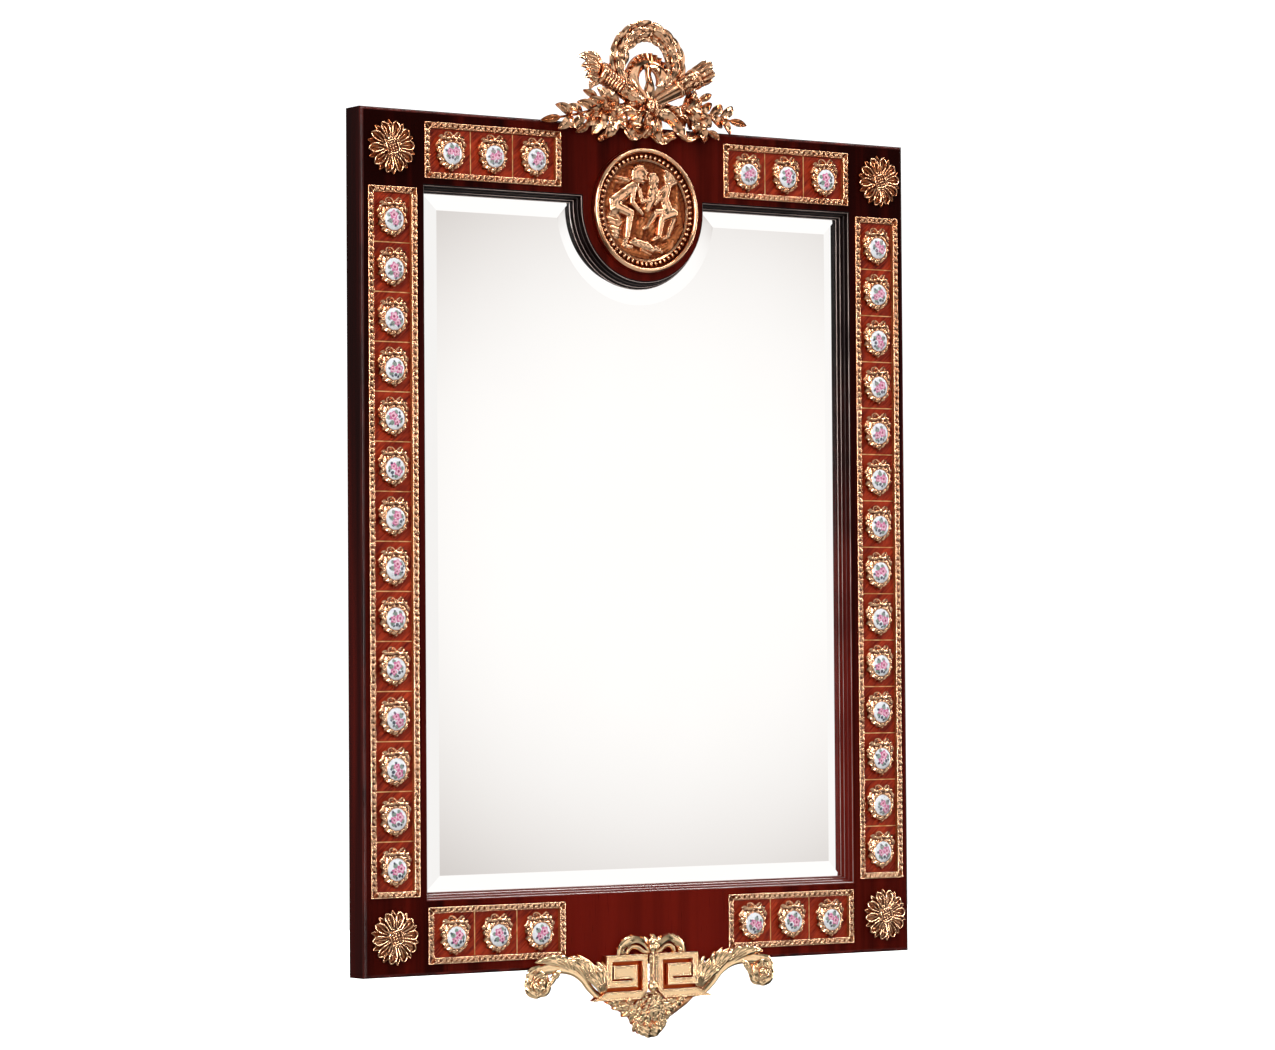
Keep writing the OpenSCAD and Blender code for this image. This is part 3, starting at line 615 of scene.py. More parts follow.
def bend(marks, count):
    """A smooth curve of count points through a few marks."""
    marks = np.asarray(marks, float)
    along = np.concatenate(((0,), np.cumsum(np.linalg.norm(np.diff(marks, axis=0), axis=1))))
    lean = np.gradient(marks, along, axis=0)
    where = np.linspace(0, along[-1], count)
    start = np.clip(np.searchsorted(along, where) - 1, 0, len(marks) - 2)
    gap = (along[start + 1] - along[start])[:, None]
    t = (where - along[start])[:, None] / gap
    return (
        marks[start] * (1 + 2 * t) * (1 - t) ** 2
        + lean[start] * gap * t * (1 - t) ** 2
        + marks[start + 1] * t * t * (3 - 2 * t)
        - lean[start + 1] * gap * t * t * (1 - t)
    )


def sides(path, roll):
    """The two directions square to a path, one across it and one standing proud."""
    ahead = np.gradient(path, axis=0)
    ahead /= np.linalg.norm(ahead, axis=1, keepdims=True)
    flat = np.cross(ahead, (0.013, 0.007, 1.0))
    flat /= np.linalg.norm(flat, axis=1, keepdims=True)
    high = np.cross(flat, ahead)
    roll = np.broadcast_to(roll, len(path))[:, None]
    return flat * np.cos(roll) + high * np.sin(roll), high * np.cos(roll) - flat * np.sin(roll)


def rod(path, wide, high, around=10, square=1.0, roll=0.0, flutes=0, flute=0.0, twist=0.0):
    """Rings along a path, wide and high from its middle; flutes may wind round it by twist."""
    path = np.asarray(path, float)
    flat, lift = sides(path, roll)
    angle = np.linspace(0, 2 * math.pi, around, endpoint=False)
    run = np.linspace(0, 1, len(path))[:, None]
    swell = 1 + flute * np.cos(flutes * (angle + twist * run))
    x = np.sign(np.cos(angle)) * np.abs(np.cos(angle)) ** square * swell
    y = np.sign(np.sin(angle)) * np.abs(np.sin(angle)) ** square * swell
    x = x * np.broadcast_to(wide, len(path))[:, None]
    y = y * np.broadcast_to(high, len(path))[:, None]
    return path[:, None] + x[..., None] * flat[:, None] + y[..., None] * lift[:, None]


def leaf(path, half, thick, lobes=0, cut=0.3, rib=0.5, cup=0.25, belly=0.45, roll=0.0, across=9):
    """Rings of a cast leaf along a path: scalloped edge, raised ribs, sunk midrib, flat back."""
    path = np.asarray(path, float)
    flat, lift = sides(path, roll)
    run = np.linspace(0.004, 0.996, len(path))
    outline = half * np.sin(math.pi * run ** (math.log(0.5) / math.log(belly))) ** 0.75
    if lobes:
        outline = outline * (1 - cut * (1 - np.abs(np.sin(math.pi * lobes * run)) ** 0.7))
    outline = np.maximum(outline, half * 0.04)
    v = np.linspace(-1, 1, across)
    ridge = -np.cos(2 * math.pi * max(lobes, 3) * (run[:, None] + 0.10 * (1 - np.abs(v))))
    taper = (outline / half)[:, None]
    front = thick * 0.6 + taper * (
        rib * ridge * np.abs(v) ** 0.5 * (1 - np.abs(v) ** 4)
        + cup * half * v ** 2
        - rib * 1.6 * np.exp(-((v / 0.16) ** 2))
    )
    back = cup * half * v[::-1] ** 2 * taper * 0.8 - thick * 0.4
    x = np.concatenate((np.broadcast_to(v, front.shape), np.broadcast_to(v[::-1], front.shape)), 1)
    x = x * outline[:, None]
    y = np.concatenate((front, back), 1)
    return path[:, None] + x[..., None] * flat[:, None] + y[..., None] * lift[:, None]


def turned(outline, around=32, wide=1.0, high=1.0):
    """Rings of a turned shape about the proud axis: outline is (radius, proud) pairs."""
    angle = np.linspace(0, 2 * math.pi, around, endpoint=False)
    outline = np.asarray(outline, float)
    x = outline[:, :1] * np.cos(angle) * wide
    y = outline[:, :1] * np.sin(angle) * high
    return np.stack((x, y, np.broadcast_to(outline[:, 1:], x.shape)), -1)


def bead(across, up, proud, wide, high, deep, turn=0.0, around=12, steps=7):
    """Rings of a pebble shape, its poles proud and behind."""
    tilt = np.linspace(0.12, math.pi - 0.12, steps)
    rings = turned(np.column_stack((np.sin(tilt), np.cos(tilt) * deep)), around, wide, high)
    cosine = math.cos(turn)
    sine = math.sin(turn)
    rings = rings @ np.array(((cosine, sine, 0), (-sine, cosine, 0), (0, 0, 1)))
    return rings + np.array((across, up, proud))


BORDER_W = 10.5
LEAF_PITCH = 10.8
border_leaf = Casting()
curl = [(-5.4, -2.6, 0.0), (-3.0, -3.1, 1.3), (-0.4, -0.6, 2.0), (1.2, 1.6, 1.8), (3.4, 3.0, 1.2),
    (5.6, 2.0, 0.0)]
border_leaf.leaf(curl, 14, 2.3, 1.5, rib=0.35, cup=-0.35, belly=0.5, across=7)
border_leaf.bead(-2.6, 1.9, 0.5, 1.9, 1.1, 1.2, turn=0.5, around=8, steps=5)
border_leaf.bead(2.4, -2.0, 0.5, 1.7, 1.0, 1.1, turn=0.5, around=8, steps=5)
SIDE_PANEL = (92.0, 1146.0)
CROSS_PANEL = (265.0, 92.0)
PANEL_MIDDLES = dict(zip(PANELS, (
    (-491.0, 700.0), (491.0, 700.0), (-297.5, 1336.0), (297.5, 1336.0), (-297.5, 64.0), (297.5, 64.0),
)))
for panel in PANELS:
    refinish(panel + "_panel_border", border_gilt, 0.0003)
    wide, tall = SIDE_PANEL if panel in ("left", "right") else CROSS_PANEL
    middle_x, middle_z = PANEL_MIDDLES[panel]
    chasing = Casting()
    for turn, length, reach in (
        (0, wide, tall), (math.pi / 2, tall, wide), (math.pi, wide, tall), (-math.pi / 2, tall, wide)
    ):
        strip = Casting()
        half = length / 2
        edge = reach / 2
        for inset in (1.0, BORDER_W - 1.1):
            thread = [(-half + inset, -edge + inset, 0.9), (half - inset, -edge + inset, 0.9)]
            strip.loft(rod(thread, 0.85, 1.0, 8))
        mitre = [(inset - half, inset - edge, 0.7) for inset in (1, BORDER_W - 1)]
        strip.loft(rod(mitre, 0.5, 0.9, 6))
        room = length - 2 * BORDER_W
        number = round(room / LEAF_PITCH)
        for place in range(number):
            along = -room / 2 + (place + 0.5) * room / number
            strip.take(border_leaf, along, -edge + BORDER_W / 2, 0.9)
        chasing.take(strip, turn=turn)
    chasing.pour(panel + "_border_leaves", border_gilt, "gilt_bronze", across=middle_x, up=middle_z)


# ---- Plaque mounts
# A cast bronze dish on every tile, its wall wrapped in overlapping leaves, with a pinched ribbon
# bow on top and forked ribbon ends down both sides. Each is pinned through the tile from behind.
TILE_FACE = -5.5
mount_gilt = gilding("mount_gilt", ROSE_GOLD, 0.16, -4.5, 3.0)
mount = Casting()
wall = [(16.4, TILE_FACE), (24.4, TILE_FACE), (24.2, -3.4), (22.6, 0.4), (20.6, 3.6), (18.9, 4.9),
        (17.6, 5.2), (16.8, 4.6), (16.4, 3.4)]
mount.loft(np.swapaxes(turned(wall + wall[:1], 48)[:-1], 0, 1), joined=True)
outer = Casting()
outer.leaf([(17.8, -3.2, 4.6), (21.6, -1.0, 4.4), (25.2, 1.6, 0.6), (27.6, 3.4, -3.8)], 11, 4.6, 1.1,
    lobes=3, cut=0.35, rib=0.4, cup=-0.12, belly=0.5, across=7)
mount.ring(outer, 13)
inner = Casting()
inner.leaf([(17.2, 3.4, 4.8), (20.4, 1.8, 6.3), (23.6, -1.6, 3.4), (24.6, -3.6, 0.6)], 9, 2.9, 1.0,
    lobes=2, cut=0.3, rib=0.3, cup=-0.2, belly=0.45, across=7)
mount.ring(inner, 13, 0.24)
thread = turned([(18.7, 5.0), (19.4, 5.8), (18.7, 6.6), (18.1, 5.8)], 48)
mount.loft(np.swapaxes(thread, 0, 1), joined=True)
bow = Casting()
loop = bend([(1.0, 27.5, 4.5), (5.0, 32.0, 5.5), (10.5, 34.2, 4.5), (14.2, 31.2, 3.0),
    (12.4, 27.6, 3.2), (6.5, 26.2, 4.4), (1.0, 27.2, 5.2)], 22)
bow.loft(rod(loop, 1.15, 2.3, 8, square=0.7, roll=np.linspace(0.3, 1.1, 22)))
bow.bar([(6.4, 29.4, 3.0), (9.0, 31.0, 3.4), (11.0, 29.8, 2.4)], 7, 0.8, 1.2, 6)
tail = bend([(2.0, 26.4, 4.6), (9.0, 23.6, 4.8), (16.0, 25.0, 3.4), (21.6, 21.6, 1.8),
    (25.0, 16.2, 1.0), (28.2, 12.4, -1.0)], 20)
bow.loft(rod(tail, np.linspace(1.6, 2.7, 20), 0.9, 8, square=0.7, roll=0.5 * np.sin(np.linspace(0, 9, 20))))
for fork in ((26.0, 17.6, 0.8), (24.4, 14.0, 0.8)):
    bow.leaf([(22.8, 19.6, 1.6), fork, (fork[0] + 3.2, fork[1] - 4.6, -1.4)], 8, 1.7, 0.8, rib=0.2,
        cup=0.3, across=5)
bow.leaf([(15.0, 25.4, 3.4), (20.0, 27.6, 2.4), (24.8, 26.0, 0.4)], 9, 2.4, 0.9, rib=0.25, across=5)
mount.take(bow)
mount.take(bow, flip=True)
mount.bead(0, 27.2, 5.4, 3.2, 3.5, 2.8)
mount.leaf([(0, -22.0, 3.0), (0, -26.4, 1.2), (0, -30.4, -3.4)], 9, 4.0, 1.1, lobes=2, rib=0.3, across=7)


CROSS_TILE = 0.0818667


def tile_middles(panel):
    """Where the middle of every tile of a panel is."""
    middle_x, middle_z = PANEL_MIDDLES[panel]
    if panel in ("left", "right"):
        return [(middle_x, middle_z + (row - 6.5) * SIDE_TILE * 1000) for row in range(14)]
    return [(middle_x + (column - 1) * CROSS_TILE * 1000, middle_z) for column in range(3)]


MOUNT_LOW = 4
for panel in PANELS:
    mounts = Casting()
    for number, (x, z) in enumerate(tile_middles(panel)):
        mounts.take(mount, x, z - MOUNT_LOW, turn=math.radians((number * 37 % 7 - 3) * 0.5))
    mounts.pour(panel + "_leafy_mounts", mount_gilt, "gilt_bronze", panel + "_panel_plaque_mounts")


# ---- Porcelain plaques
# Domed discs of soft white porcelain, painted over the glaze with a posy: two pink blooms, a few
# leaves and dark berries, no two alike. Each is sprung into its mount and stands a little proud.
glazed = Shader(bpy.data.materials.new("painted_porcelain"))
painting = glazed.node("Attribute", {"attribute_name": "painting"}, out="Vector")
number = glazed.part(painting, "Z")
chance = glazed.node("TexWhiteNoise", {"noise_dimensions": "1D"}, {"W": number}, out="Color")
held = glazed.part(chance, "Z") * 3.4 - 1.7
posy = glazed.node("VectorRotate", {"rotation_type": "Z_AXIS"}, {"Vector": painting, "Angle": held})
x = glazed.part(posy, "X")
z = glazed.part(posy, "Y")
shift_x = (glazed.part(chance, "X") - 0.5) * 5
shift_z = (glazed.part(chance, "Y") - 0.5) * 5
wobble = noise(glazed, painting, 0.5, 2)
brush = noise(glazed, painting, 1.1, 3)


def stroke(at_x, at_z, reach, petals=0, soft=0.8):
    """A painted dab, or a bloom when it has petals: 1 inside, 0 outside."""
    dx = x - (shift_x + at_x)
    dz = z - (shift_z * 0.8 + at_z)
    far = (dx * dx + dz * dz) ** 0.5
    if petals:
        round_it = glazed.sum("ARCTAN2", dz, dx)
        far = far - glazed.sum("SINE", round_it * petals + number) * reach * 0.16
    return 1 - glazed.between(far + (wobble - 0.5) * 3, reach - soft, reach + soft)


painted = glazed.blend(
    glazed.between(wobble, 0.35, 0.75), (0.93, 0.94, 0.96), (0.74, 0.80, 0.90)
)
for at_x, at_z, reach in ((-6.5, 6.5, 4.2), (10.5, -2.4, 3.8), (-4.5, -9.5, 3.8), (2.0, 12.0, 3.4)):
    painted = glazed.blend(stroke(at_x, at_z, reach) * brush * 1.6, painted, (0.035, 0.12, 0.05))
for at_x, at_z, reach in ((4.6, 3.6, 7.2), (-5.6, -2.6, 5.6)):
    painted = glazed.blend(stroke(at_x, at_z, reach, 5), painted, (0.64, 0.12, 0.30))
    painted = glazed.blend(stroke(at_x + 0.8, at_z - 0.3, reach * 0.66, 4), painted, (0.90, 0.50, 0.64))
    painted = glazed.blend(stroke(at_x, at_z, reach * 0.32), painted, (0.34, 0.02, 0.09))
for at_x, at_z, reach in ((3.6, -8.0, 3.0), (9.2, -8.4, 2.2), (-0.6, -12.2, 2.0), (-11.6, -4.4, 2.2),
        (-8.6, 10.4, 1.9)):
    painted = glazed.blend(stroke(at_x, at_z, reach, 0, 0.5) * 0.92, painted, (0.010, 0.014, 0.055))
porcelain = dressed(
    glazed,
    painted,
    0.12 + brush * 0.08,
    relief(glazed, brush, 0.00004),
    Coat_Weight=0.8,
    Coat_Roughness=0.03,
)
dome = turned([(17.2, -5.0), (18.5, 3.8), (18.1, 5.2), (16.6, 6.4), (13.8, 7.6), (10.1, 8.5),
    (5.6, 9.1), (0.6, 9.3)], 40)
disc = Casting(dome)
on_disc = dome.reshape(-1, 3)[:, :2]
plaque_number = 0
for panel in PANELS:
    discs = Casting()
    marks = []
    for middle_x, middle_z in tile_middles(panel):
        discs.take(disc, middle_x, middle_z - MOUNT_LOW)
        marks.append(np.column_stack((on_disc, np.full(len(on_disc), plaque_number))))
        plaque_number += 1
    piece = discs.pour(panel + "_painted_discs", porcelain, "porcelain", panel + "_panel_plaques")
    layer = piece.data.attributes.new("painting", "FLOAT_VECTOR", "POINT")
    layer.data.foreach_set("vector", np.concatenate(marks).ravel())


# ---- Corner rosettes
# Four cast sunflowers, each two rings of ten petals with turned-over rims and a vein, round a
# sunk square boss of beads. A stud behind passes through the corner and takes a brass nut.
rosette_gilt = gilding("rosette_gilt", ROSE_GOLD, 0.15, 2.0, 7.2)
petal = Casting()
petal.leaf([(11, 0, 2.0), (22, 0, 3.4), (32, 0, 3.6), (38.5, 0, 2.8), (41.5, 0, 1.4)], 22, 6.2, 1.4,
    rib=0.3, cup=0.02, belly=0.6, across=11)
rim = [(13, 1.8, 5.4), (20, 4.0, 7.6), (28, 6.3, 8.8), (35, 6.7, 8.0), (39.4, 4.2, 6.4), (42.4, 0, 4.6)]
rim = rim + [(x, -z, h) for x, z, h in rim[-2::-1]]
petal.bar(rim, 34, 1.5, 1.7, 8)
petal.bar([(14, 0, 4.6), (24, 0.5, 6.6), (31, -0.4, 6.4), (35, 0, 4.2)], 12, np.linspace(1.7, 0.8, 12),
    1.3, 8)
point = Casting()
point.leaf([(12, 0, 1.2), (25, 0, 2.6), (36, 0, 2.6), (43.2, 0, 0.8)], 20, 6.2, 1.4, rib=0.3,
    cup=-0.05, belly=0.55, across=9)
edge = [(26, 3.6, 4.0), (33, 4.2, 5.4), (39, 2.6, 5.0), (44.0, 0, 3.4)]
edge = edge + [(x, -z, h) for x, z, h in edge[-2::-1]]
point.bar(edge, 24, 1.1, 1.3, 8)
rosette = Casting(turned([(38, 0), (37.4, 1.4), (20, 2.2), (0.8, 2.4)], 48))
for place in range(10):
    turn = 2 * math.pi * place / 10
    rosette.take(petal, turn=turn, proud=(place % 2) * 0.6)
    rosette.take(point, turn=turn + math.pi / 10)
boss_rim = [(-9.5, -9.5, 8.8), (0, -10.8, 9.4), (9.5, -9.5, 8.8), (10.8, 0, 9.4), (9.5, 9.5, 8.8),
    (0, 10.8, 9.4), (-9.5, 9.5, 8.8), (-10.8, 0, 9.4)]
boss_rim = bend(boss_rim + boss_rim[:2], 44)[:-5]
boss = Casting(turned([(15.4, 1.0), (14.4, 5.6), (12.4, 7.2), (9.8, 7.2), (0.8, 7.0)], 28))
boss.loft(rod(boss_rim, 1.5, 1.9, 8), joined=True)
for column in range(-1, 2):
    for row in range(4):
        boss.bead(column * 5.4, row * 4.6 - 6.9, 8.4, 2.2, 1.95, 2.2)
tuft = Casting()
tuft.leaf([(10.5, 0, 8.0), (14.5, 1.2, 8.6), (18.4, 2.6, 6.2)], 8, 2.8, 0.9, rib=0.3, across=5)
boss.ring(tuft, 12)
rosette.take(boss, turn=math.radians(12))
flower = Casting()
flower.take(rosette, turn=math.radians(6))
for end, z in (("top", 1336), ("bottom", 64)):
    for side, x in (("left", -495), ("right", 495)):
        corner = end + "_" + side
        flower.pour("sunflower_" + corner, rosette_gilt, "gilt_bronze", "rosette_" + corner, across=x, up=z)


# ---- Medallion
# A cast roundel on the boss: a high polished rim, a ring of sixty tongues, a fine thread, and
# a disc modelled in relief with three children at play, all pinned through the boss from behind.
MEDALLION_Z = 1259
rim_gilt = gilding("rim_gilt", ROSE_GOLD, 0.16, -2.0, 6.0)
ring_gilt = gilding("ring_gilt", ROSE_GOLD, 0.2, 4.2, 6.6)
relief_gilt = gilding("relief_gilt", ROSE_GOLD, 0.17, 4.2, 8.6)
angle = np.linspace(0, math.pi, 15)
crown = [(100.7 + 4.25 * math.cos(a), 8.6 + 5.4 * math.sin(a)) for a in angle]
rim_outline = [(104.6, 0.0), (105.0, 1.6)] + crown + [(96.5, 6.4), (96.0, 4.6), (95.6, 4.2), (95.6, 0.0)]
rim = Casting()
rim.loft(np.swapaxes(turned(rim_outline, 160), 0, 1), joined=True)
rim.pour("polished_rim", rim_gilt, "gilt_bronze", "medallion_rim", up=MEDALLION_Z, crease=60)

tongue = Casting(bead(90.2, 0, 6.4, 4.4, 3.0, 4.8, around=14, steps=9))
dart = Casting(bead(91.6, 0, 4.6, 2.6, 0.9, 1.8, around=8, steps=5))
tongue_ring = Casting()
tongue_ring.loft(turned([(96.2, 1.0), (96.2, 4.2), (84.6, 4.2), (84.6, 1.0)], 120), joined=True)
TONGUES = 60
tongue_ring.ring(tongue, TONGUES)
tongue_ring.ring(dart, TONGUES, math.pi / TONGUES)
for radius, thick in ((85.4, 1.0), (83.2, 0.5)):
    section = np.linspace(0, 2 * math.pi, 8)[:-1]
    wire = [(radius + thick * math.cos(a), 6.2 + thick * math.sin(a)) for a in section]
    tongue_ring.loft(np.swapaxes(turned(wire, 140), 0, 1), joined=True)
tongue_ring.pour("tongue_ring", ring_gilt, "gilt_bronze", "medallion_beads", up=MEDALLION_Z)

RELIEF_R = 84.4
GROUND = 4.0
spread = np.linspace(0, 1, 230) ** 0.62 * RELIEF_R
spread[0] = 0.15
around = np.linspace(0, 2 * math.pi, 360, endpoint=False)
field_x = spread[:, None] * np.cos(around)
field_z = spread[:, None] * np.sin(around)
SOFT = 1.0
piled = np.zeros_like(field_x)


def model(*blobs, over=0.0, flat=0.62):
    """Lays tapering limbs of clay on the disc: each is x, z, radius at one end and the other."""
    global piled
    for x0, z0, r0, x1, z1, r1 in blobs:
        run_x = x1 - x0
        run_z = z1 - z0
        length = run_x ** 2 + run_z ** 2 + 0.0001
        t = np.clip(((field_x - x0) * run_x + (field_z - z0) * run_z) / length, 0, 1)
        radius = r0 + (r1 - r0) * t
        far = np.sqrt((field_x - x0 - t * run_x) ** 2 + (field_z - z0 - t * run_z) ** 2)
        crowned = np.sqrt(np.maximum(radius ** 2 - far ** 2, 0)) * flat + over
        height = np.where(far < radius, crowned, over - (far - radius) * 2.6)
        piled = SOFT * np.logaddexp(piled / SOFT, height / SOFT)


def incise(*lines, depth=0.8, width=0.9):
    """Cuts fine grooves along straight runs of points."""
    global piled
    for line in lines:
        for (x0, z0), (x1, z1) in zip(line[:-1], line[1:]):
            run_x = x1 - x0
            run_z = z1 - z0
            length = run_x ** 2 + run_z ** 2 + 0.0001
            t = np.clip(((field_x - x0) * run_x + (field_z - z0) * run_z) / length, 0, 1)
            far = (field_x - x0 - t * run_x) ** 2 + (field_z - z0 - t * run_z) ** 2
            piled = piled - depth * np.exp(-far / width ** 2)


def head(x, z, size, faces):
    """A child's head in three-quarter view: round skull, curls, brow, cheek, nose and mouth."""

    def at(ahead, up):
        return x + faces * size * ahead, z + size * up

    def lump(x0, z0, r0, x1, z1, r1, over, flat=0.62):
        model((*at(x0, z0), size * r0, *at(x1, z1), size * r1), over=over, flat=flat)

    lump(0, 0, 1, -0.1, 0.1, 0.96, 1.5, 0.55)
    lump(0.45, -0.35, 0.55, 0.45, -0.5, 0.42, 2.4, 0.6)
    lump(0.63, -0.2, 0.13, 0.75, -0.42, 0.17, size * 0.48, 0.9)
    lump(0.27, -0.5, 0.26, 0.25, -0.52, 0.26, size * 0.36)
    lump(0.45, -0.8, 0.2, 0.53, -0.82, 0.18, size * 0.24)
    lips = [at(0.33, -0.66), at(0.71, -0.64)]
    lid = [at(0.25, -0.2), at(0.51, -0.22)]
    incise(lips, lid, depth=size * 0.08, width=size * 0.09)
    for step in range(9):
        curl = math.pi * (0.10 + 0.13 * step)
        ahead = 0.82 * math.cos(curl)
        up = 0.82 * math.sin(curl)
        lump(ahead, up, 0.26, ahead - 0.1, up - 0.14, 0.2, size * 0.34, 0.7)


# rocks, reeds and clouds behind
for x0, z0, r0, x1, z1, r1 in (
    (-72, -28, 7, -50, -54, 9), (-44, -66, 8, 4, -76, 6), (4, -70, 6, 52, -58, 8), (50, -56, 8, 74, -26, 6),
    (62, 8, 9, 72, -18, 6), (60, 34, 6, 68, 12, 6), (-70, 28, 5, -76, 8, 5), (10, -8, 9, 14, -34, 8),
    (-6, -20, 9, -10, -40, 8), (26, -44, 7, 52, -46, 6),
):
    model((x0, z0, r0, x1, z1, r1), flat=0.3)
for reed in range(7):
    lean = reed * 3.4
    model((60 + lean * 0.35, -4 + reed * 6, 2.2, 71 - lean * 0.3, 10 + reed * 6.5, 0.8), over=0.6, flat=0.5)
    model((-68 + reed * 1.4, 22 + reed * 3.4, 1.6, -78 + reed * 3.2, 30 + reed * 4.6, 0.7), over=0.4,
        flat=0.5)
# the child behind, seen between the other two
model((18, 42, 9, 12, 20, 9.5), (12, 20, 9.5, 4, 4, 8), over=1.0, flat=0.5)
model((20, 36, 4.6, 30, 22, 3.8), (30, 22, 3.8, 20, 12, 3.0), over=3.0, flat=0.7)
head(15, 53, 10.5, -1)
# the child on the left, bending forward with wings spread
model((-34, 49, 4.2, -50, 51.5, 3.4), (-50, 51.5, 3.4, -68, 54, 1.4), over=1.6, flat=0.6)
for feather in range(5):
    model((-36 - feather * 5, 46 - feather * 0.2, 2.4, -50 - feather * 4.2, 40 + feather * 1.6, 1.1),
        over=0.9, flat=0.6)
model((-22, 40, 9.5, -44, 26, 10.5), (-44, 26, 10.5, -64, 12, 11.5), (-64, 12, 11.5, -62, 2, 12),
    over=2.2, flat=0.6)
model((-60, 4, 9.5, -32, -6, 7.6), (-32, -6, 7.6, -38, -44, 4.4), (-38, -46, 4.2, -45, -60, 3.6),
    (-45, -61, 3.6, -30, -63, 3.0), over=3.4, flat=0.7)
model((-64, -2, 8.5, -52, -22, 6.6), (-52, -22, 6.6, -64, -42, 4.6), over=1.2, flat=0.6)
model((-26, 36, 5.6, -29, 12, 4.4), (-29, 12, 4.6, -13, -2, 3.4), (-13, -2, 3.2, -8, -6, 3.0),
    over=5.0, flat=0.7)
model((-14, 34, 4.4, -8, 14, 3.8), (-8, 14, 3.8, 8, 18, 3.2), over=4.6, flat=0.7)
head(-13, 59, 15.5, 1)
# its drum, with two hoops
model((-70, -14, 8, -60, -42, 9), over=1.0, flat=0.5)
incise([(-79, -12), (-58, -17)], [(-76, -26), (-54, -31)], [(-72, -40), (-50, -46)], depth=1.4, width=1.0)
for hoop in (-19, -33):
    model((-78, hoop + 3, 1.6, -56 + hoop * -0.1, hoop - 2, 1.6), over=4.6, flat=0.8)
# the child on the right, seated, one arm raised with a horn
model((45, 42, 8, 38, 22, 8.5), (38, 22, 8.5, 46, 2, 10.5), over=2.0, flat=0.6)
model((46, 44, 4.6, 60, 50, 3.8), (60, 50, 3.8, 54, 62, 3.0), (52, 62, 3.4, 40, 68, 2.2), over=4.0, flat=0.7)
model((38, 40, 4.4, 26, 30, 3.6), (26, 30, 3.6, 22, 16, 3.0), over=4.0, flat=0.7)
model((56, -2, 8.0, 32, -12, 6.2), (32, -12, 6.4, 26, -42, 4.0), (26, -43, 3.6, 16, -48, 3.0),
    over=4.4, flat=0.7)
model((44, -2, 7.4, 22, -2, 6.2), (22, -2, 6.2, 4, -26, 4.0), (4, -27, 3.6, -3, -30, 3.0), over=2.6,
    flat=0.7)
model((60, -6, 6, 46, -40, 4.4), (46, -41, 4, 36, -46, 3), over=1.6, flat=0.6)
head(47, 57, 9.5, -1)
# a lamb asleep in front on a folded cloth
model((-22, -54, 6.4, 4, -60, 7.4), (4, -60, 6.4, 14, -66, 4.4), over=1.6, flat=0.6)
model((-24, -52, 5.6, -30, -55, 3.6), over=3.0, flat=0.6)
model((8, -66, 3, 26, -66, 2.4), (-8, -66, 3, 10, -73, 2.2), (20, -62, 4.5, 32, -68, 3.5), over=1.4,
    flat=0.7)
incise([(-16, -50), (-10, -62)], [(-8, -50), (-2, -64)], [(0, -52), (6, -65)], [(22, -60), (30, -70)],
    depth=0.7)
incise([(-40, 30), (-48, 14)], [(-58, 20), (-68, 4)], [(40, 30), (44, 12)], [(34, 2), (40, -8)], depth=0.7)
ripple = np.sin(field_x * 0.55 + 3 * np.sin(field_z * 0.12))
ripple = ripple * np.cos(field_z * 0.6 + 2 * np.sin(field_x * 0.1))
fronds = np.sin(field_x * 0.34 + 2.2 * np.sin(field_z * 0.17 + 1))
fronds = np.abs(fronds + np.sin(field_z * 0.41 - field_x * 0.23))
piled = piled + (0.4 * ripple + 1.0 * fronds - 0.5) * np.exp(-piled / 2.6)
piled = piled - piled[spread < RELIEF_R].min() * 0.2
edge_fall = np.clip((RELIEF_R - spread) / 3, 0, 1)[:, None]
height = GROUND - 0.4 + np.minimum(piled, 11.5) * edge_fall
scene_disc = Casting(np.stack((field_x, field_z, height), -1))
scene_disc.pour(
    "children_relief", relief_gilt, "gilt_bronze", "medallion_relief", up=MEDALLION_Z, crease=80
)


# ---- Crest wreath
# Two ropes of bay leaves bent into a ring and brazed to a core, bound at the foot by the knot. A
# ribbed fan of drapery and a looped strap hang inside it. Cast in one and chased all over.
WREATH_Z = 1502.0
crest_gilt = gilding("crest_gilt", ROSE_GOLD, 0.15, 2.0, 13.0)
RING_R = 56.0
wreath = Casting()
turn = np.radians(np.linspace(-64, 244, 70))
core = np.column_stack((RING_R * np.cos(turn), WREATH_Z + RING_R * np.sin(turn), np.full(70, 7.5)))
wreath.loft(rod(core, 10.5, 6.6, 14, flutes=5, flute=0.1, twist=9.0))
chance = np.random.default_rng(11)
for arm in (-1, 1):
    for station in range(8):
        start = math.radians(-62 + station * 18.4)
        for offset, splay, high in ((-8.5, 0.05, 8.5), (6.0, 0.24, 9.0), (-1.5, 0.13, 13.0)):
            marks = []
            reach = 41 + chance.uniform(-4, 4)
            lift = chance.uniform(-1.6, 1.6)
            for t in (0, 0.35, 0.7, 1.0):
                at = start + t * reach / RING_R
                out = RING_R + offset + splay * reach * t
                rise = (0, 6.4, 6.0, -1.0)[int(t * 3.01)]
                marks.append((arm * out * math.cos(at), WREATH_Z + out * math.sin(at), high + lift + rise))
            wreath.leaf(marks, 17, 9.0, 2.6, rib=0.7, cup=-0.38, belly=0.42, across=9,
                roll=arm * (splay * 1.2 + chance.uniform(-0.5, 0.5)))
    for station in range(5):
        at = math.radians(-40 + station * 30)
        out = RING_R + 9
        wreath.bead(arm * out * math.cos(at), WREATH_Z + out * math.sin(at), 9, 3, 3, 3)
FAN_X = 6.0
FAN_Z = 1478.0
fan = []
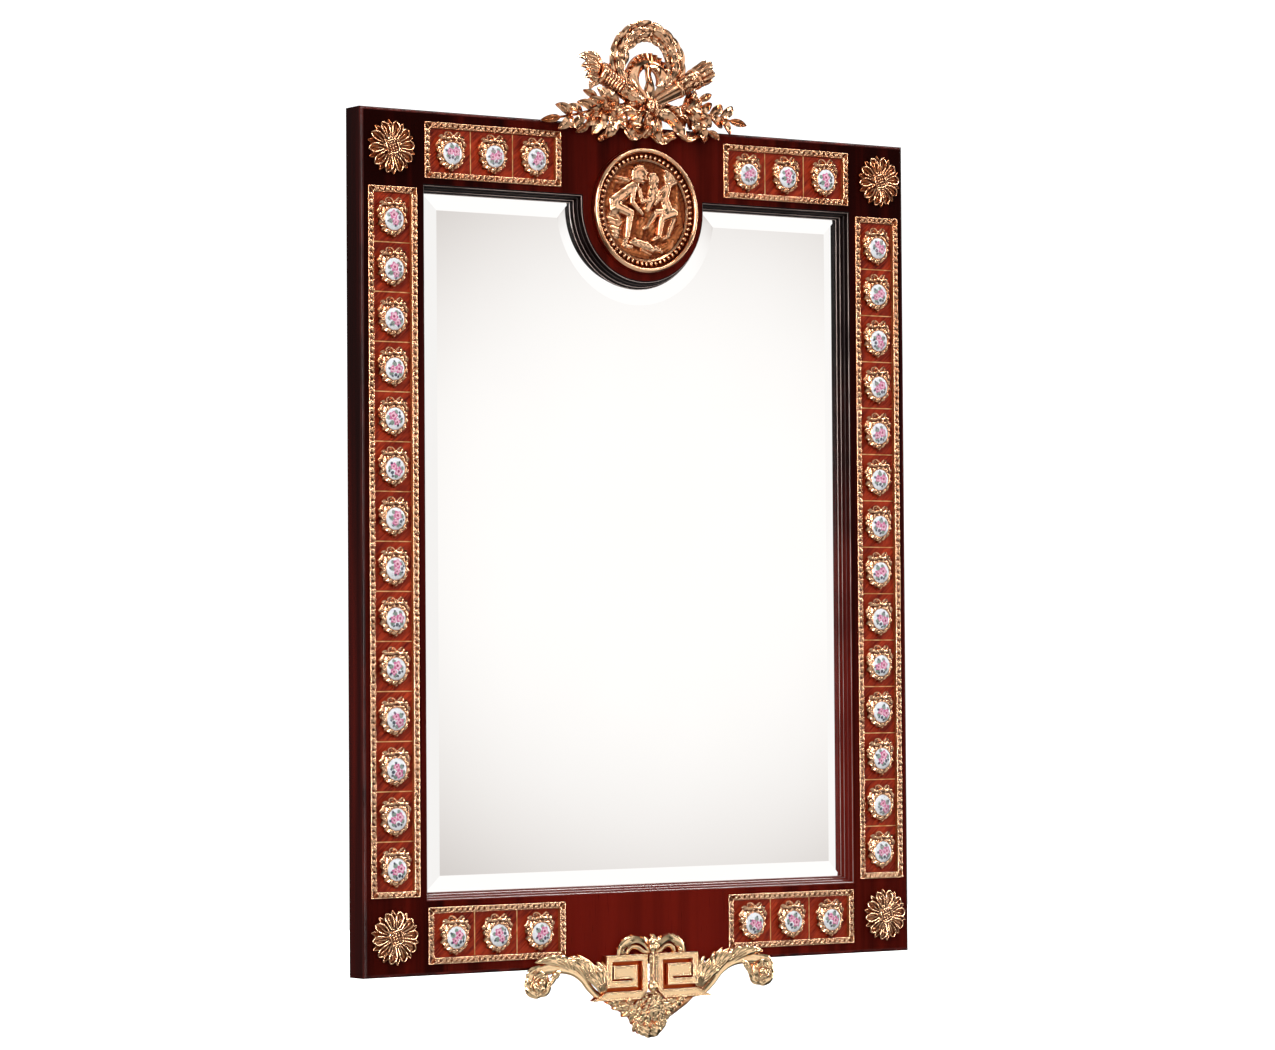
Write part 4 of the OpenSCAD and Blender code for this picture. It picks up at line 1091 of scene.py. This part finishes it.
for place in np.linspace(0, 1, 150):
    at = math.radians(-22 + 224 * place)
    s = np.linspace(0, 1, 8)
    radius = 20 + 26 * s * (0.8 + 0.2 * math.sin(math.pi * place))
    ribs = 2.8 * math.cos(place * 2 * math.pi * 17) * (0.3 + s)
    front = 8 + 6.0 * np.sin(math.pi * (0.12 + 0.76 * s)) + ribs
    radius = np.concatenate((radius, radius[::-1]))
    proud = np.concatenate((front, np.full(8, 1.5)))
    fan.append(np.column_stack((FAN_X + radius * math.cos(at), FAN_Z + radius * math.sin(at), proud)))
wreath.loft(fan)
for strap, half in (
    ([(0, 1441, 15), (-16, 1452, 14), (-27, 1470, 13), (-25, 1489, 14), (-12, 1502, 14),
        (2, 1504, 13)], 8.2),
    ([(4, 1441, 15), (21, 1453, 14), (32, 1472, 13), (30, 1492, 14), (17, 1503, 14), (5, 1504, 13)], 8.2),
    ([(3, 1506, 13), (0, 1488, 16), (4, 1468, 15), (2, 1440, 16)], 9.0),
):
    sway = 0.55 * np.sin(np.linspace(0, 5, 26))
    wreath.bar(strap, 26, half, 3.2, 18, square=0.8, roll=sway, flutes=5, flute=0.2)
wreath.pour("leafy_wreath", crest_gilt, "gilt_bronze", "crest_wreath")


# ---- Crest branches
# A laurel branch each way from the knot, its leaves soldered in pairs to a bent stem with a
# shorter sprig above. Each leaf is cupped, with a sunk midrib; small berries sit in the joints.
branches = Casting()
STEMS = (
    ([(-6, 1434, 6), (-52, 1432, 8), (-106, 1420, 9), (-150, 1409, 8), (-176, 1404, 6)], 6, 40),
    ([(-58, 1430, 8), (-82, 1436, 9), (-102, 1444, 8)], 2, 31),
    ([(-80, 1424, 8), (-104, 1404, 9), (-120, 1394, 8)], 2, 29),
    ([(6, 1434, 6), (56, 1432, 8), (108, 1430, 9), (154, 1424, 8), (180, 1420, 6)], 6, 40),
    ([(66, 1434, 8), (94, 1444, 9), (114, 1453, 8)], 2, 31),
    ([(84, 1424, 8), (112, 1408, 9), (132, 1398, 8)], 2, 29),
)
for marks, pairs, reach in STEMS:
    stem = bend(marks, 40)
    branches.loft(rod(stem, np.linspace(3.8, 2.0, 40), np.linspace(3.8, 2.0, 40), 8, flutes=5, flute=0.1))
    for pair in range(pairs):
        spot_on = int(6 + pair * 33 / pairs) if pairs > 3 else int(8 + pair * 11)
        base = stem[min(spot_on, 38)]
        way = stem[min(spot_on + 1, 39)] - base
        heading = math.atan2(way[1], way[0])
        for side in (-1, 1):
            if pairs > 3 and pair < 2 and side > 0:
                continue
            lean = heading + side * math.radians(34 + chance.uniform(-7, 9))
            length = reach * (1 - 0.22 * pair / pairs) + chance.uniform(-2, 2)
            dx = math.cos(lean)
            dz = math.sin(lean)
            high = base[2] + chance.uniform(-1, 2.5)
            bowed = side * 1.8
            marks = [base]
            for part, bow_out, lift in ((0.36, bowed, 4.5), (0.7, bowed, 3.2), (1.0, 0, -2.5)):
                out_x = base[0] + dx * length * part - dz * bow_out
                out_z = base[1] + dz * length * part + dx * bow_out
                marks.append((out_x, out_z, high + lift))
            branches.leaf(marks, 17, 8.4, 2.6, rib=0.5, cup=0.3, belly=0.46, across=9,
                roll=chance.uniform(-0.5, 0.5))
        branches.bead(*(base + (0, 0, 3)), 2.4, 2.4, 2.4)
    end = stem[-1]
    way = end - stem[-3]
    way = way / np.linalg.norm(way) * reach * 0.8
    branches.leaf([end - way * 0.2, end + way * 0.4 + (0, 0, 2), end + way], 13, 6.6, 2.2, rib=0.8, cup=0.2)
branches.pour("laurel_branches", crest_gilt, "gilt_bronze", "crest_branches")


# ---- Crest torch and quiver
# Turned and chased bars crossed behind the knot: a ringed torch with its flame blown back, and a
# fluted quiver with two bands and a sheaf of feathered arrows. Screwed to the wreath from behind.
BAR_START = (8, 1438)
BAR_LEAN = math.radians(28)


def slanting(side):
    """A frame whose first axis runs up a bar that leans outward from the knot."""
    cosine = math.cos(BAR_LEAN)
    sine = math.sin(BAR_LEAN)

    def at(along, over, proud):
        x = BAR_START[0] + along * cosine - over * sine
        return side * x, BAR_START[1] + along * sine + over * cosine, proud

    return at


def barrel(casting, at, axis_high, outline, **shape):
    """A turned part along a slanting bar: outline is (along, radius) pairs."""
    path = np.array([at(along, 0, axis_high) for along, radius in outline])
    radii = np.array([radius for along, radius in outline])
    casting.loft(rod(path, radii, radii * 0.92, 28, **shape))


def wrapped_leaf(casting, at, axis_high, begin, finish, radius, round_it, half, side, **shape):
    """A leaf laid along a bar at an angle round it; its tip lifts off a little."""
    marks = []
    for t, lift in ((0, 0.0), (0.4, 1.2), (0.75, 1.4), (1.0, 2.8)):
        out = radius + lift
        high = axis_high + out * math.sin(round_it)
        marks.append(at(begin + (finish - begin) * t, out * math.cos(round_it), high))
    casting.leaf(marks, 13, half, 1.2, roll=side * (round_it - math.pi / 2), **shape)


torch = Casting()
up_torch = slanting(-1)
barrel(torch, up_torch, 12, [(0, 5), (6, 8.4), (20, 10.4), (40, 13.6), (46, 14.4)])
for begin, spread_by in ((4, 0.0), (18, 0.4), (30, 0.0)):
    for step in range(5):
        wrapped_leaf(torch, up_torch, 12, begin, begin + 23, 9.4 + begin * 0.11,
            0.25 + spread_by + step * 0.66, 8.6, 1, rib=0.8, cup=-0.2, across=7)
rings = []
for step in range(85):
    swell = 3.2 * abs(math.sin(step * 0.5 * math.pi / 6.1)) ** 0.7
    rings.append((46 + step * 0.5, 12.2 + swell + step * 0.014))
barrel(torch, up_torch, 12, rings)
barrel(torch, up_torch, 12, [(86, 11), (88, 15.4), (91, 18), (95, 19.4), (98, 18.8), (100, 16),
    (102, 11)], flutes=12, flute=0.08)
for tip, half, bulge in (
    ((-137, 1508, 10), 12.5, (-114, 1505, 22)),
    ((-132, 1492, 12), 12.0, (-113, 1491, 24)),
    ((-123, 1474, 11), 12.0, (-105, 1478, 22)),
    ((-113, 1455, 9), 10.0, (-105, 1470, 18)),
    ((-126, 1513, 10), 9.0, (-106, 1509, 16)),
    ((-129, 1484, 16), 6.5, (-109, 1487, 27)),
):
    bent = ((bulge[0] + tip[0]) / 2 - 1, (bulge[1] + tip[1]) / 2 + 2, bulge[2] - 2)
    flame = [up_torch(94, 0, 12), bulge, bent, tip]
    torch.leaf(flame, 18, half, 2.6, lobes=2, cut=0.12, rib=1.4, cup=-0.3, belly=0.42, across=11)
torch.bead(-106, 1491, 14, 13, 10, 9, turn=-0.4, around=20)
torch.pour("ringed_torch", crest_gilt, "gilt_bronze", "crest_torch")

quiver = Casting()
up_quiver = slanting(1)
barrel(quiver, up_quiver, 14, [(0, 7.4), (20, 10.4), (40, 12.8), (57, 14.4)], flutes=10, flute=0.09)
barrel(quiver, up_quiver, 14, [(56, 13.6), (57, 16), (59, 17), (61, 16.2), (62.5, 17), (64, 16.2), (65, 14)])
barrel(quiver, up_quiver, 14, [(64, 14.2), (72, 14.8), (84, 15.4), (97, 16.0)])
for step in range(7):
    wrapped_leaf(quiver, up_quiver, 14, 66, 80, 15.0, -0.1 + step * 0.56, 3.6, -1, lobes=2, rib=0.4,
        cup=-0.2, across=7)
    wrapped_leaf(quiver, up_quiver, 14, 96, 83, 15.6, 0.18 + step * 0.56, 3.0, 1, rib=0.4, cup=-0.2,
        across=7)
barrel(quiver, up_quiver, 14, [(96, 15.6), (97, 18), (99, 18.8), (101, 18), (102.5, 18.6), (104, 18),
    (105, 15)])
feather = np.array([4.4, 5.0, 5.4, 5.6, 5.7, 5.7, 5.7, 5.7, 5.7, 5.7, 5.6, 5.3, 4.8, 3.4])
for over, proud, long in (
    (-13, 12, 30), (-6.5, 20, 35), (1.5, 23, 33), (9, 20, 38), (14, 13, 33), (2, 13, 39), (-7, 9, 34)
):
    foot = up_quiver(102, over * 0.8, proud * 0.9)
    path = bend([foot, up_quiver(104 + long * 0.5, over, proud),
        up_quiver(104 + long, over * 1.15, proud)], 14)
    quiver.loft(rod(path, feather, feather * 0.8, 16, flutes=4, flute=0.26, twist=0.6))
    for notch in range(6):
        barb = path[4 + notch] + (0, 0, 3.0)
        quiver.bead(*barb, 1.0, 4.2, 1.0, turn=BAR_LEAN + math.radians(35), around=8, steps=5)
quiver.pour("arrow_quiver", crest_gilt, "gilt_bronze", "crest_quiver")


# ---- Crest ribbon
# A broad ribbon, cast in folds, that ties everything at a round knot and runs out both ways along
# the top rail. Its back is screwed to the frame; the folds turn over so both faces show.
ribbon = Casting()
RUNS = (
    ([(-12, 1430, 9), (-34, 1432, 14), (-56, 1426, 12), (-74, 1434, 11)], 9.5, 0.5),
    ([(12, 1430, 9), (36, 1434, 14), (58, 1428, 13), (78, 1432, 10)], 9.5, 1.6),
    ([(-4, 1428, 15), (-26, 1418, 18), (-48, 1424, 15), (-62, 1410, 17), (-72, 1392, 15),
        (-84, 1378, 9), (-90, 1374, 6)], 10.5, 0.2),
    ([(-2, 1424, 14), (-20, 1408, 18), (-36, 1396, 15), (-30, 1384, 12), (-14, 1388, 14),
        (-4, 1400, 13)], 11.0, 1.2),
    ([(-40, 1410, 10), (-52, 1398, 15), (-66, 1404, 15), (-80, 1418, 11), (-92, 1414, 7)], 10.0, 2.2),
    ([(3, 1426, 15), (18, 1408, 18), (14, 1392, 16), (30, 1380, 14), (50, 1388, 13)], 11.0, 0.8),
    ([(6, 1428, 14), (32, 1420, 18), (52, 1410, 16), (66, 1396, 16), (84, 1386, 13), (104, 1392, 9),
        (124, 1389, 6)], 10.5, 2.0),
    ([(30, 1418, 10), (50, 1430, 15), (70, 1424, 16), (84, 1412, 14), (98, 1404, 8)], 10.0, 3.0),
    ([(0, 1426, 14), (-4, 1410, 18), (4, 1396, 16), (-2, 1384, 9)], 11.0, 0.0),
)
for marks, half, phase in RUNS:
    sway = 1.05 * np.sin(phase + np.linspace(0, 7.5, 34))
    width = half * (1 - 0.25 * np.abs(np.sin(phase + np.linspace(0, 5, 34))))
    ribbon.bar(marks, 34, width, 3.0, 24, square=0.7, roll=sway, flutes=7, flute=0.18, twist=0.8)
    ribbon.bead(*marks[-1], half * 0.62, 4.8, 3.8, turn=phase)
ribbon.bead(3, 1433, 19, 10.5, 12, 8.5, around=24, steps=12)
for band in (-4.5, 0.5, 5.0):
    low_x = 3 + band
    high_x = 3 + band * 1.5
    wrap = [(low_x, 1421, 20), (high_x, 1428, 26.5), (high_x, 1438, 26.5), (low_x, 1445, 20)]
    ribbon.bar(wrap, 14, 1.9, 1.5)
for step in range(6):
    turn = math.pi * (0.08 + step * 0.17)
    out_x = 3 + 17 * math.cos(-turn)
    out_z = 1430 + 17 * math.sin(-turn)
    ribbon.leaf([(3, 1430, 17), (out_x, out_z, 21), (out_x * 1.5 - 1.5, out_z - 7, 14)], 10, 5.5, 1.5,
        rib=0.4, cup=-0.2, across=7)
ribbon.pour("knotted_ribbon", crest_gilt, "gilt_bronze", "crest_ribbon")


# ---- Apron keys
# Two blocks of Greek key with a splayed foot, cast square and filed crisp. The drawn bars stay;
# a raised thread is brazed along both edges of every bar, so each reads as a moulded band.
YELLOW_GOLD = ((0.34, 0.030, 0.005), (1.0, 0.37, 0.095), (1.0, 0.72, 0.42))
key_gilt = gilding("key_gilt", YELLOW_GOLD, 0.2, 5.0, 12.5)
leaf_gilt = gilding("leaf_gilt", YELLOW_GOLD, 0.15, 4.0, 12.0)
KEY_THICK = 13.0
KEY_LINE = (
    (119.0, -56.0), (24.0, -56.0), (10.0, -42.0), (10.0, 18.0), (92.0, 18.0), (92.0, -35.0),
    (31.0, -35.0), (31.0, 0.5), (78.0, 0.5), (78.0, -21.0), (41.5, -21.0), (41.5, -24.5),
    (81.5, -24.5), (81.5, 7.5), (20.5, 7.5), (20.5, -42.0), (92.0, -42.0),
)
for side, name in ((-1, "left"), (1, "right")):
    refinish("apron_key_" + name, key_gilt, 0.0006)
    threads = Casting()
    outline = np.array(KEY_LINE + KEY_LINE[:1])
    for start, end in zip(outline[:-1], outline[1:]):
        run = end - start
        length = np.hypot(*run)
        run = run / length
        inward = np.array((run[1], -run[0]))
        pull = min(1.0, length * 0.3)
        for inset, thick in ((0.9, 0.9), (3.4, 0.45)):
            first = start + inward * inset + run * inset * pull
            last = end + inward * inset - run * inset * pull
            bar = [(side * first[0], first[1], KEY_THICK), (side * last[0], last[1], KEY_THICK)]
            threads.loft(rod(bar, thick, thick, 8))
        threads.bead(side * (start[0] + inward[0]), start[1] + inward[1], KEY_THICK, 1.0, 1.0, 1.0,
            around=8, steps=5)
    threads.pour("key_threads_" + name, key_gilt, "bright_gilt")


# ---- Apron scrolls
# An acanthus arm each side: a fluted band that springs from behind the key, rises in three leaf
# sprays along the rail's lower edge and rolls under into a hanging volute.
scroll = Casting()
arm = bend([(86, -52, 5), (104, -48, 6), (122, -34, 7), (138, -16, 8), (156, -4, 9), (178, 2, 9),
    (202, 2, 9), (222, -2, 8)], 50)
scroll.loft(rod(arm, np.linspace(6.5, 9.5, 50), np.linspace(3.2, 4.4, 50), 20, square=0.8, flutes=8,
    flute=0.1, roll=np.linspace(0.5, -0.1, 50)))
for root, tips, half in (
    ((98, -50, 6), ((98, 8, 6), (109, 9, 7), (121, 5, 8), (133, -2, 8), (142, -11, 8)), 6.2),
    ((126, -30, 8), ((132, 16, 5), (146, 21, 6), (161, 20, 6), (176, 14, 7)), 6.6),
    ((156, -10, 9), ((172, 18, 5), (191, 21, 6), (211, 19, 6), (230, 13, 7)), 6.8),
    ((180, 0, 9), ((196, -18, 8), (204, -30, 6)), 5.6),
):
    root = np.array(root, float)
    for tip in tips:
        run = np.array(tip, float) - root
        aside = np.array((-run[1], run[0], 0)) * 0.13
        marks = [root, root + run * 0.4 + aside + (0, 0, 6),
            root + run * 0.78 + aside * 0.8 + (0, 0, 6), root + run]
        scroll.leaf(marks, 26, half, 2.6, rib=0.7, cup=-0.38, belly=0.6, across=11)
VOLUTE = (224, -19)
scroll.bead(*VOLUTE, 6, 22, 23, 9, around=32, steps=12)
for radius, begin, finish, half, high in (
    (20, 120, -30, 9.5, 10), (21, 30, -110, 9.5, 9), (19, -60, -200, 8.5, 9), (11, 170, 10, 7.5, 14),
    (10, 20, -130, 7.0, 14),
):
    swing = np.radians(np.linspace(begin, finish, 6))
    marks = np.column_stack((VOLUTE[0] + radius * np.cos(swing), VOLUTE[1] + radius * np.sin(swing),
        high + 2.5 * np.sin(np.linspace(0, math.pi, 6))))
    scroll.leaf(marks, 30, half, 2.4, lobes=3, cut=0.14, rib=0.9, cup=-0.3, belly=0.5, across=11)
scroll.bead(VOLUTE[0] - 1, VOLUTE[1] - 1, 16, 6.5, 6.5, 5, around=20)
for side, name in ((-1, "left"), (1, "right")):
    piece = Casting()
    piece.take(scroll, flip=side < 0)
    piece.pour("acanthus_scroll_" + name, leaf_gilt, "bright_gilt", "apron_scroll_" + name)


# ---- Apron husk
# The middle casting: a ribbon bow on the rail, a stem of husks down the gap between the keys, a
# bead, and below them a palmette over a bunch of leaves that narrows to one turned-up tip.
husk = Casting()
loop = bend([(4, 24, 11), (16, 36, 13), (34, 44, 11), (52, 38, 9), (61, 24, 7), (60, 12, 6)], 34)
husk.loft(rod(loop, np.linspace(4.5, 8.0, 34), 2.4, 18, square=0.7,
    roll=0.45 * np.sin(np.linspace(0.4, 4.6, 34)), flutes=6, flute=0.1))
inner_loop = bend([(4, 20, 10), (16, 22, 11), (28, 30, 9), (40, 30, 8), (47, 20, 7), (42, 12, 6)], 30)
husk.loft(rod(inner_loop, 3.6, 2.2, 14, square=0.7, roll=-0.3, flutes=4, flute=0.1))
husk.leaf([(6, 18, 8), (14, 15, 10), (24, 16, 8), (32, 20, 6)], 16, 4.0, 1.6, lobes=3, rib=0.5, across=9)
for tip, half in (((20, 47, 5), 5.0), ((40, 50, 4), 5.0), ((57, 43, 4), 5.0), ((66, 30, 3), 4.5)):
    root = np.array((tip[0] * 0.8, tip[1] - 12, 10))
    husk.leaf([root, (root + np.array(tip)) / 2 + (0, 0, 2.5), tip], 12, half, 1.6, lobes=2, rib=0.6,
        across=9)
both = Casting()
both.take(husk)
both.take(husk, flip=True)
both.bead(0, 30, 13, 8.5, 11, 6, around=20, steps=10)
both.leaf([(0, 26, 14), (-1, 36, 16), (2, 44, 12), (0, 50, 6)], 16, 8, 2.0, lobes=4, rib=0.9, cup=0.15,
    across=11)
for x in (-1, 1):
    both.leaf([(x * 3, 30, 12), (x * 10, 38, 14), (x * 14, 46, 8)], 12, 5.5, 1.8, lobes=3, rib=0.6, across=9)
stem = bend([(0, 26, 12), (0.8, 10, 13), (-0.6, -8, 13), (0, -28, 12)], 40)
both.loft(rod(stem, 3.2, 3.0, 10, flutes=3, flute=0.2, twist=9))
for step in range(6):
    for side in (-1, 1):
        z = 18 - step * 8.2
        marks = [(side * 1.0, z, 14), (side * 5.6, z - 4, 16), (side * 4.6, z - 11, 14.5)]
        both.leaf(marks, 12, 3.6, 1.6, rib=0.5, cup=-0.15, across=7, lobes=2, cut=0.2)
both.bar([(-9, -28, 11), (0, -26, 14.5), (9, -28, 11)], 10, 1.5, 1.5, 8)
both.bead(0, -36, 13, 9.0, 10, 7, around=24, steps=12)
both.bar([(-9, -46, 11), (0, -47, 14), (9, -46, 11)], 10, 1.6, 1.6, 8)
for turn_by, reach, half, high in (
    (-90, 44, 12, 16), (-116, 40, 9, 14), (-64, 40, 9, 14), (-140, 36, 8, 11), (-40, 36, 8, 11),
        (-160, 30, 6, 9),
    (-20, 30, 6, 9),
):
    a = math.radians(turn_by)
    marks = []
    for r, h in ((2, -3), (reach * 0.4, 1.5), (reach * 0.75, 0.5), (reach, -5)):
        marks.append((math.cos(a) * r, -48 + math.sin(a) * r, high + h))
    both.leaf(marks, 26, half, 2.0, lobes=5, cut=0.3, rib=1.1, cup=-0.12, belly=0.55, across=13)
core = []
swing = np.linspace(0, 2 * math.pi, 24, endpoint=False)
for z, left, right in (
    (-46, -78, 66), (-56, -82, 70), (-66, -70, 58), (-78, -54, 44), (-92, -38, 30), (-104, -30, 22),
        (-115, -20, 10)
):
    half = (right - left) / 2
    core.append(np.column_stack((left + half + half * np.cos(swing), np.full(24, z), 5 + 4 * np.sin(swing))))
both.loft(core)
for root, tip, half, high in (
    ((-56, -48), (-92, -58), 10, 8), ((-46, -50), (-78, -70), 11, 9), ((-36, -54), (-60, -84), 11, 10),
    ((-24, -56), (-42, -97), 12, 11), ((-8, -60), (-20, -104), 12, 12), ((44, -48), (76, -56), 10, 8),
    ((36, -50), (66, -68), 11, 9), ((26, -54), (50, -80), 11, 10), ((16, -56), (34, -93), 12, 11),
    ((4, -60), (14, -103), 12, 12), ((-26, -80), (-37, -110), 9, 11), ((12, -80), (24, -108), 9, 11),
):
    root = np.array((*root, high - 2.0))
    tip = np.array((*tip, high - 5.0))
    marks = [root, root * 0.6 + tip * 0.4 + (0, 0, 6), root * 0.25 + tip * 0.75 + (0, 0, 6), tip]
    both.leaf(marks, 26, half, 2.2, lobes=4, cut=0.22, rib=1.4, cup=-0.16, belly=0.56, across=13)
for x, z in ((-60, -66), (-44, -78), (-30, -90), (-50, -58), (42, -70), (30, -82), (-14, -98),
        (8, -98), (54, -60)):
    both.bead(x, z, 13, 4.4, 4.4, 4.4)
both.leaf([(-36, -92, 7), (-26, -104, 12), (-8, -112, 12), (14, -117, 6)], 24, 10, 2.2, lobes=4,
    cut=0.25, rib=1.0, cup=-0.2, belly=0.5, across=11)
both.leaf([(2, -94, 8), (6, -104, 13), (4, -113, 12), (0, -119, 8)], 18, 12, 2.4, lobes=3, cut=0.15,
    rib=0.7, cup=-0.3, belly=0.55, across=11)
both.leaf([(24, -84, 8), (22, -96, 12), (17, -106, 11), (14, -116, 7)], 18, 7, 2.0, lobes=3, cut=0.25,
    rib=0.8, cup=-0.2, belly=0.5, across=9)
back = [(-92, -56), (-72, -70), (-46, -84), (-33, -102), (-26, -114), (-8, -117), (14, -116),
    (22, -98), (48, -84), (74, -69), (90, -56)]
shoulder = [(x * 0.9, -78 + (z + 78) * 0.85, 8.0) for x, z in back]
both.loft([[(x, z, 1.0) for x, z in back], [(x, z, 6.0) for x, z in back], shoulder])
both.pour("bow_and_leaf_drop", leaf_gilt, "bright_gilt", "apron_husk")
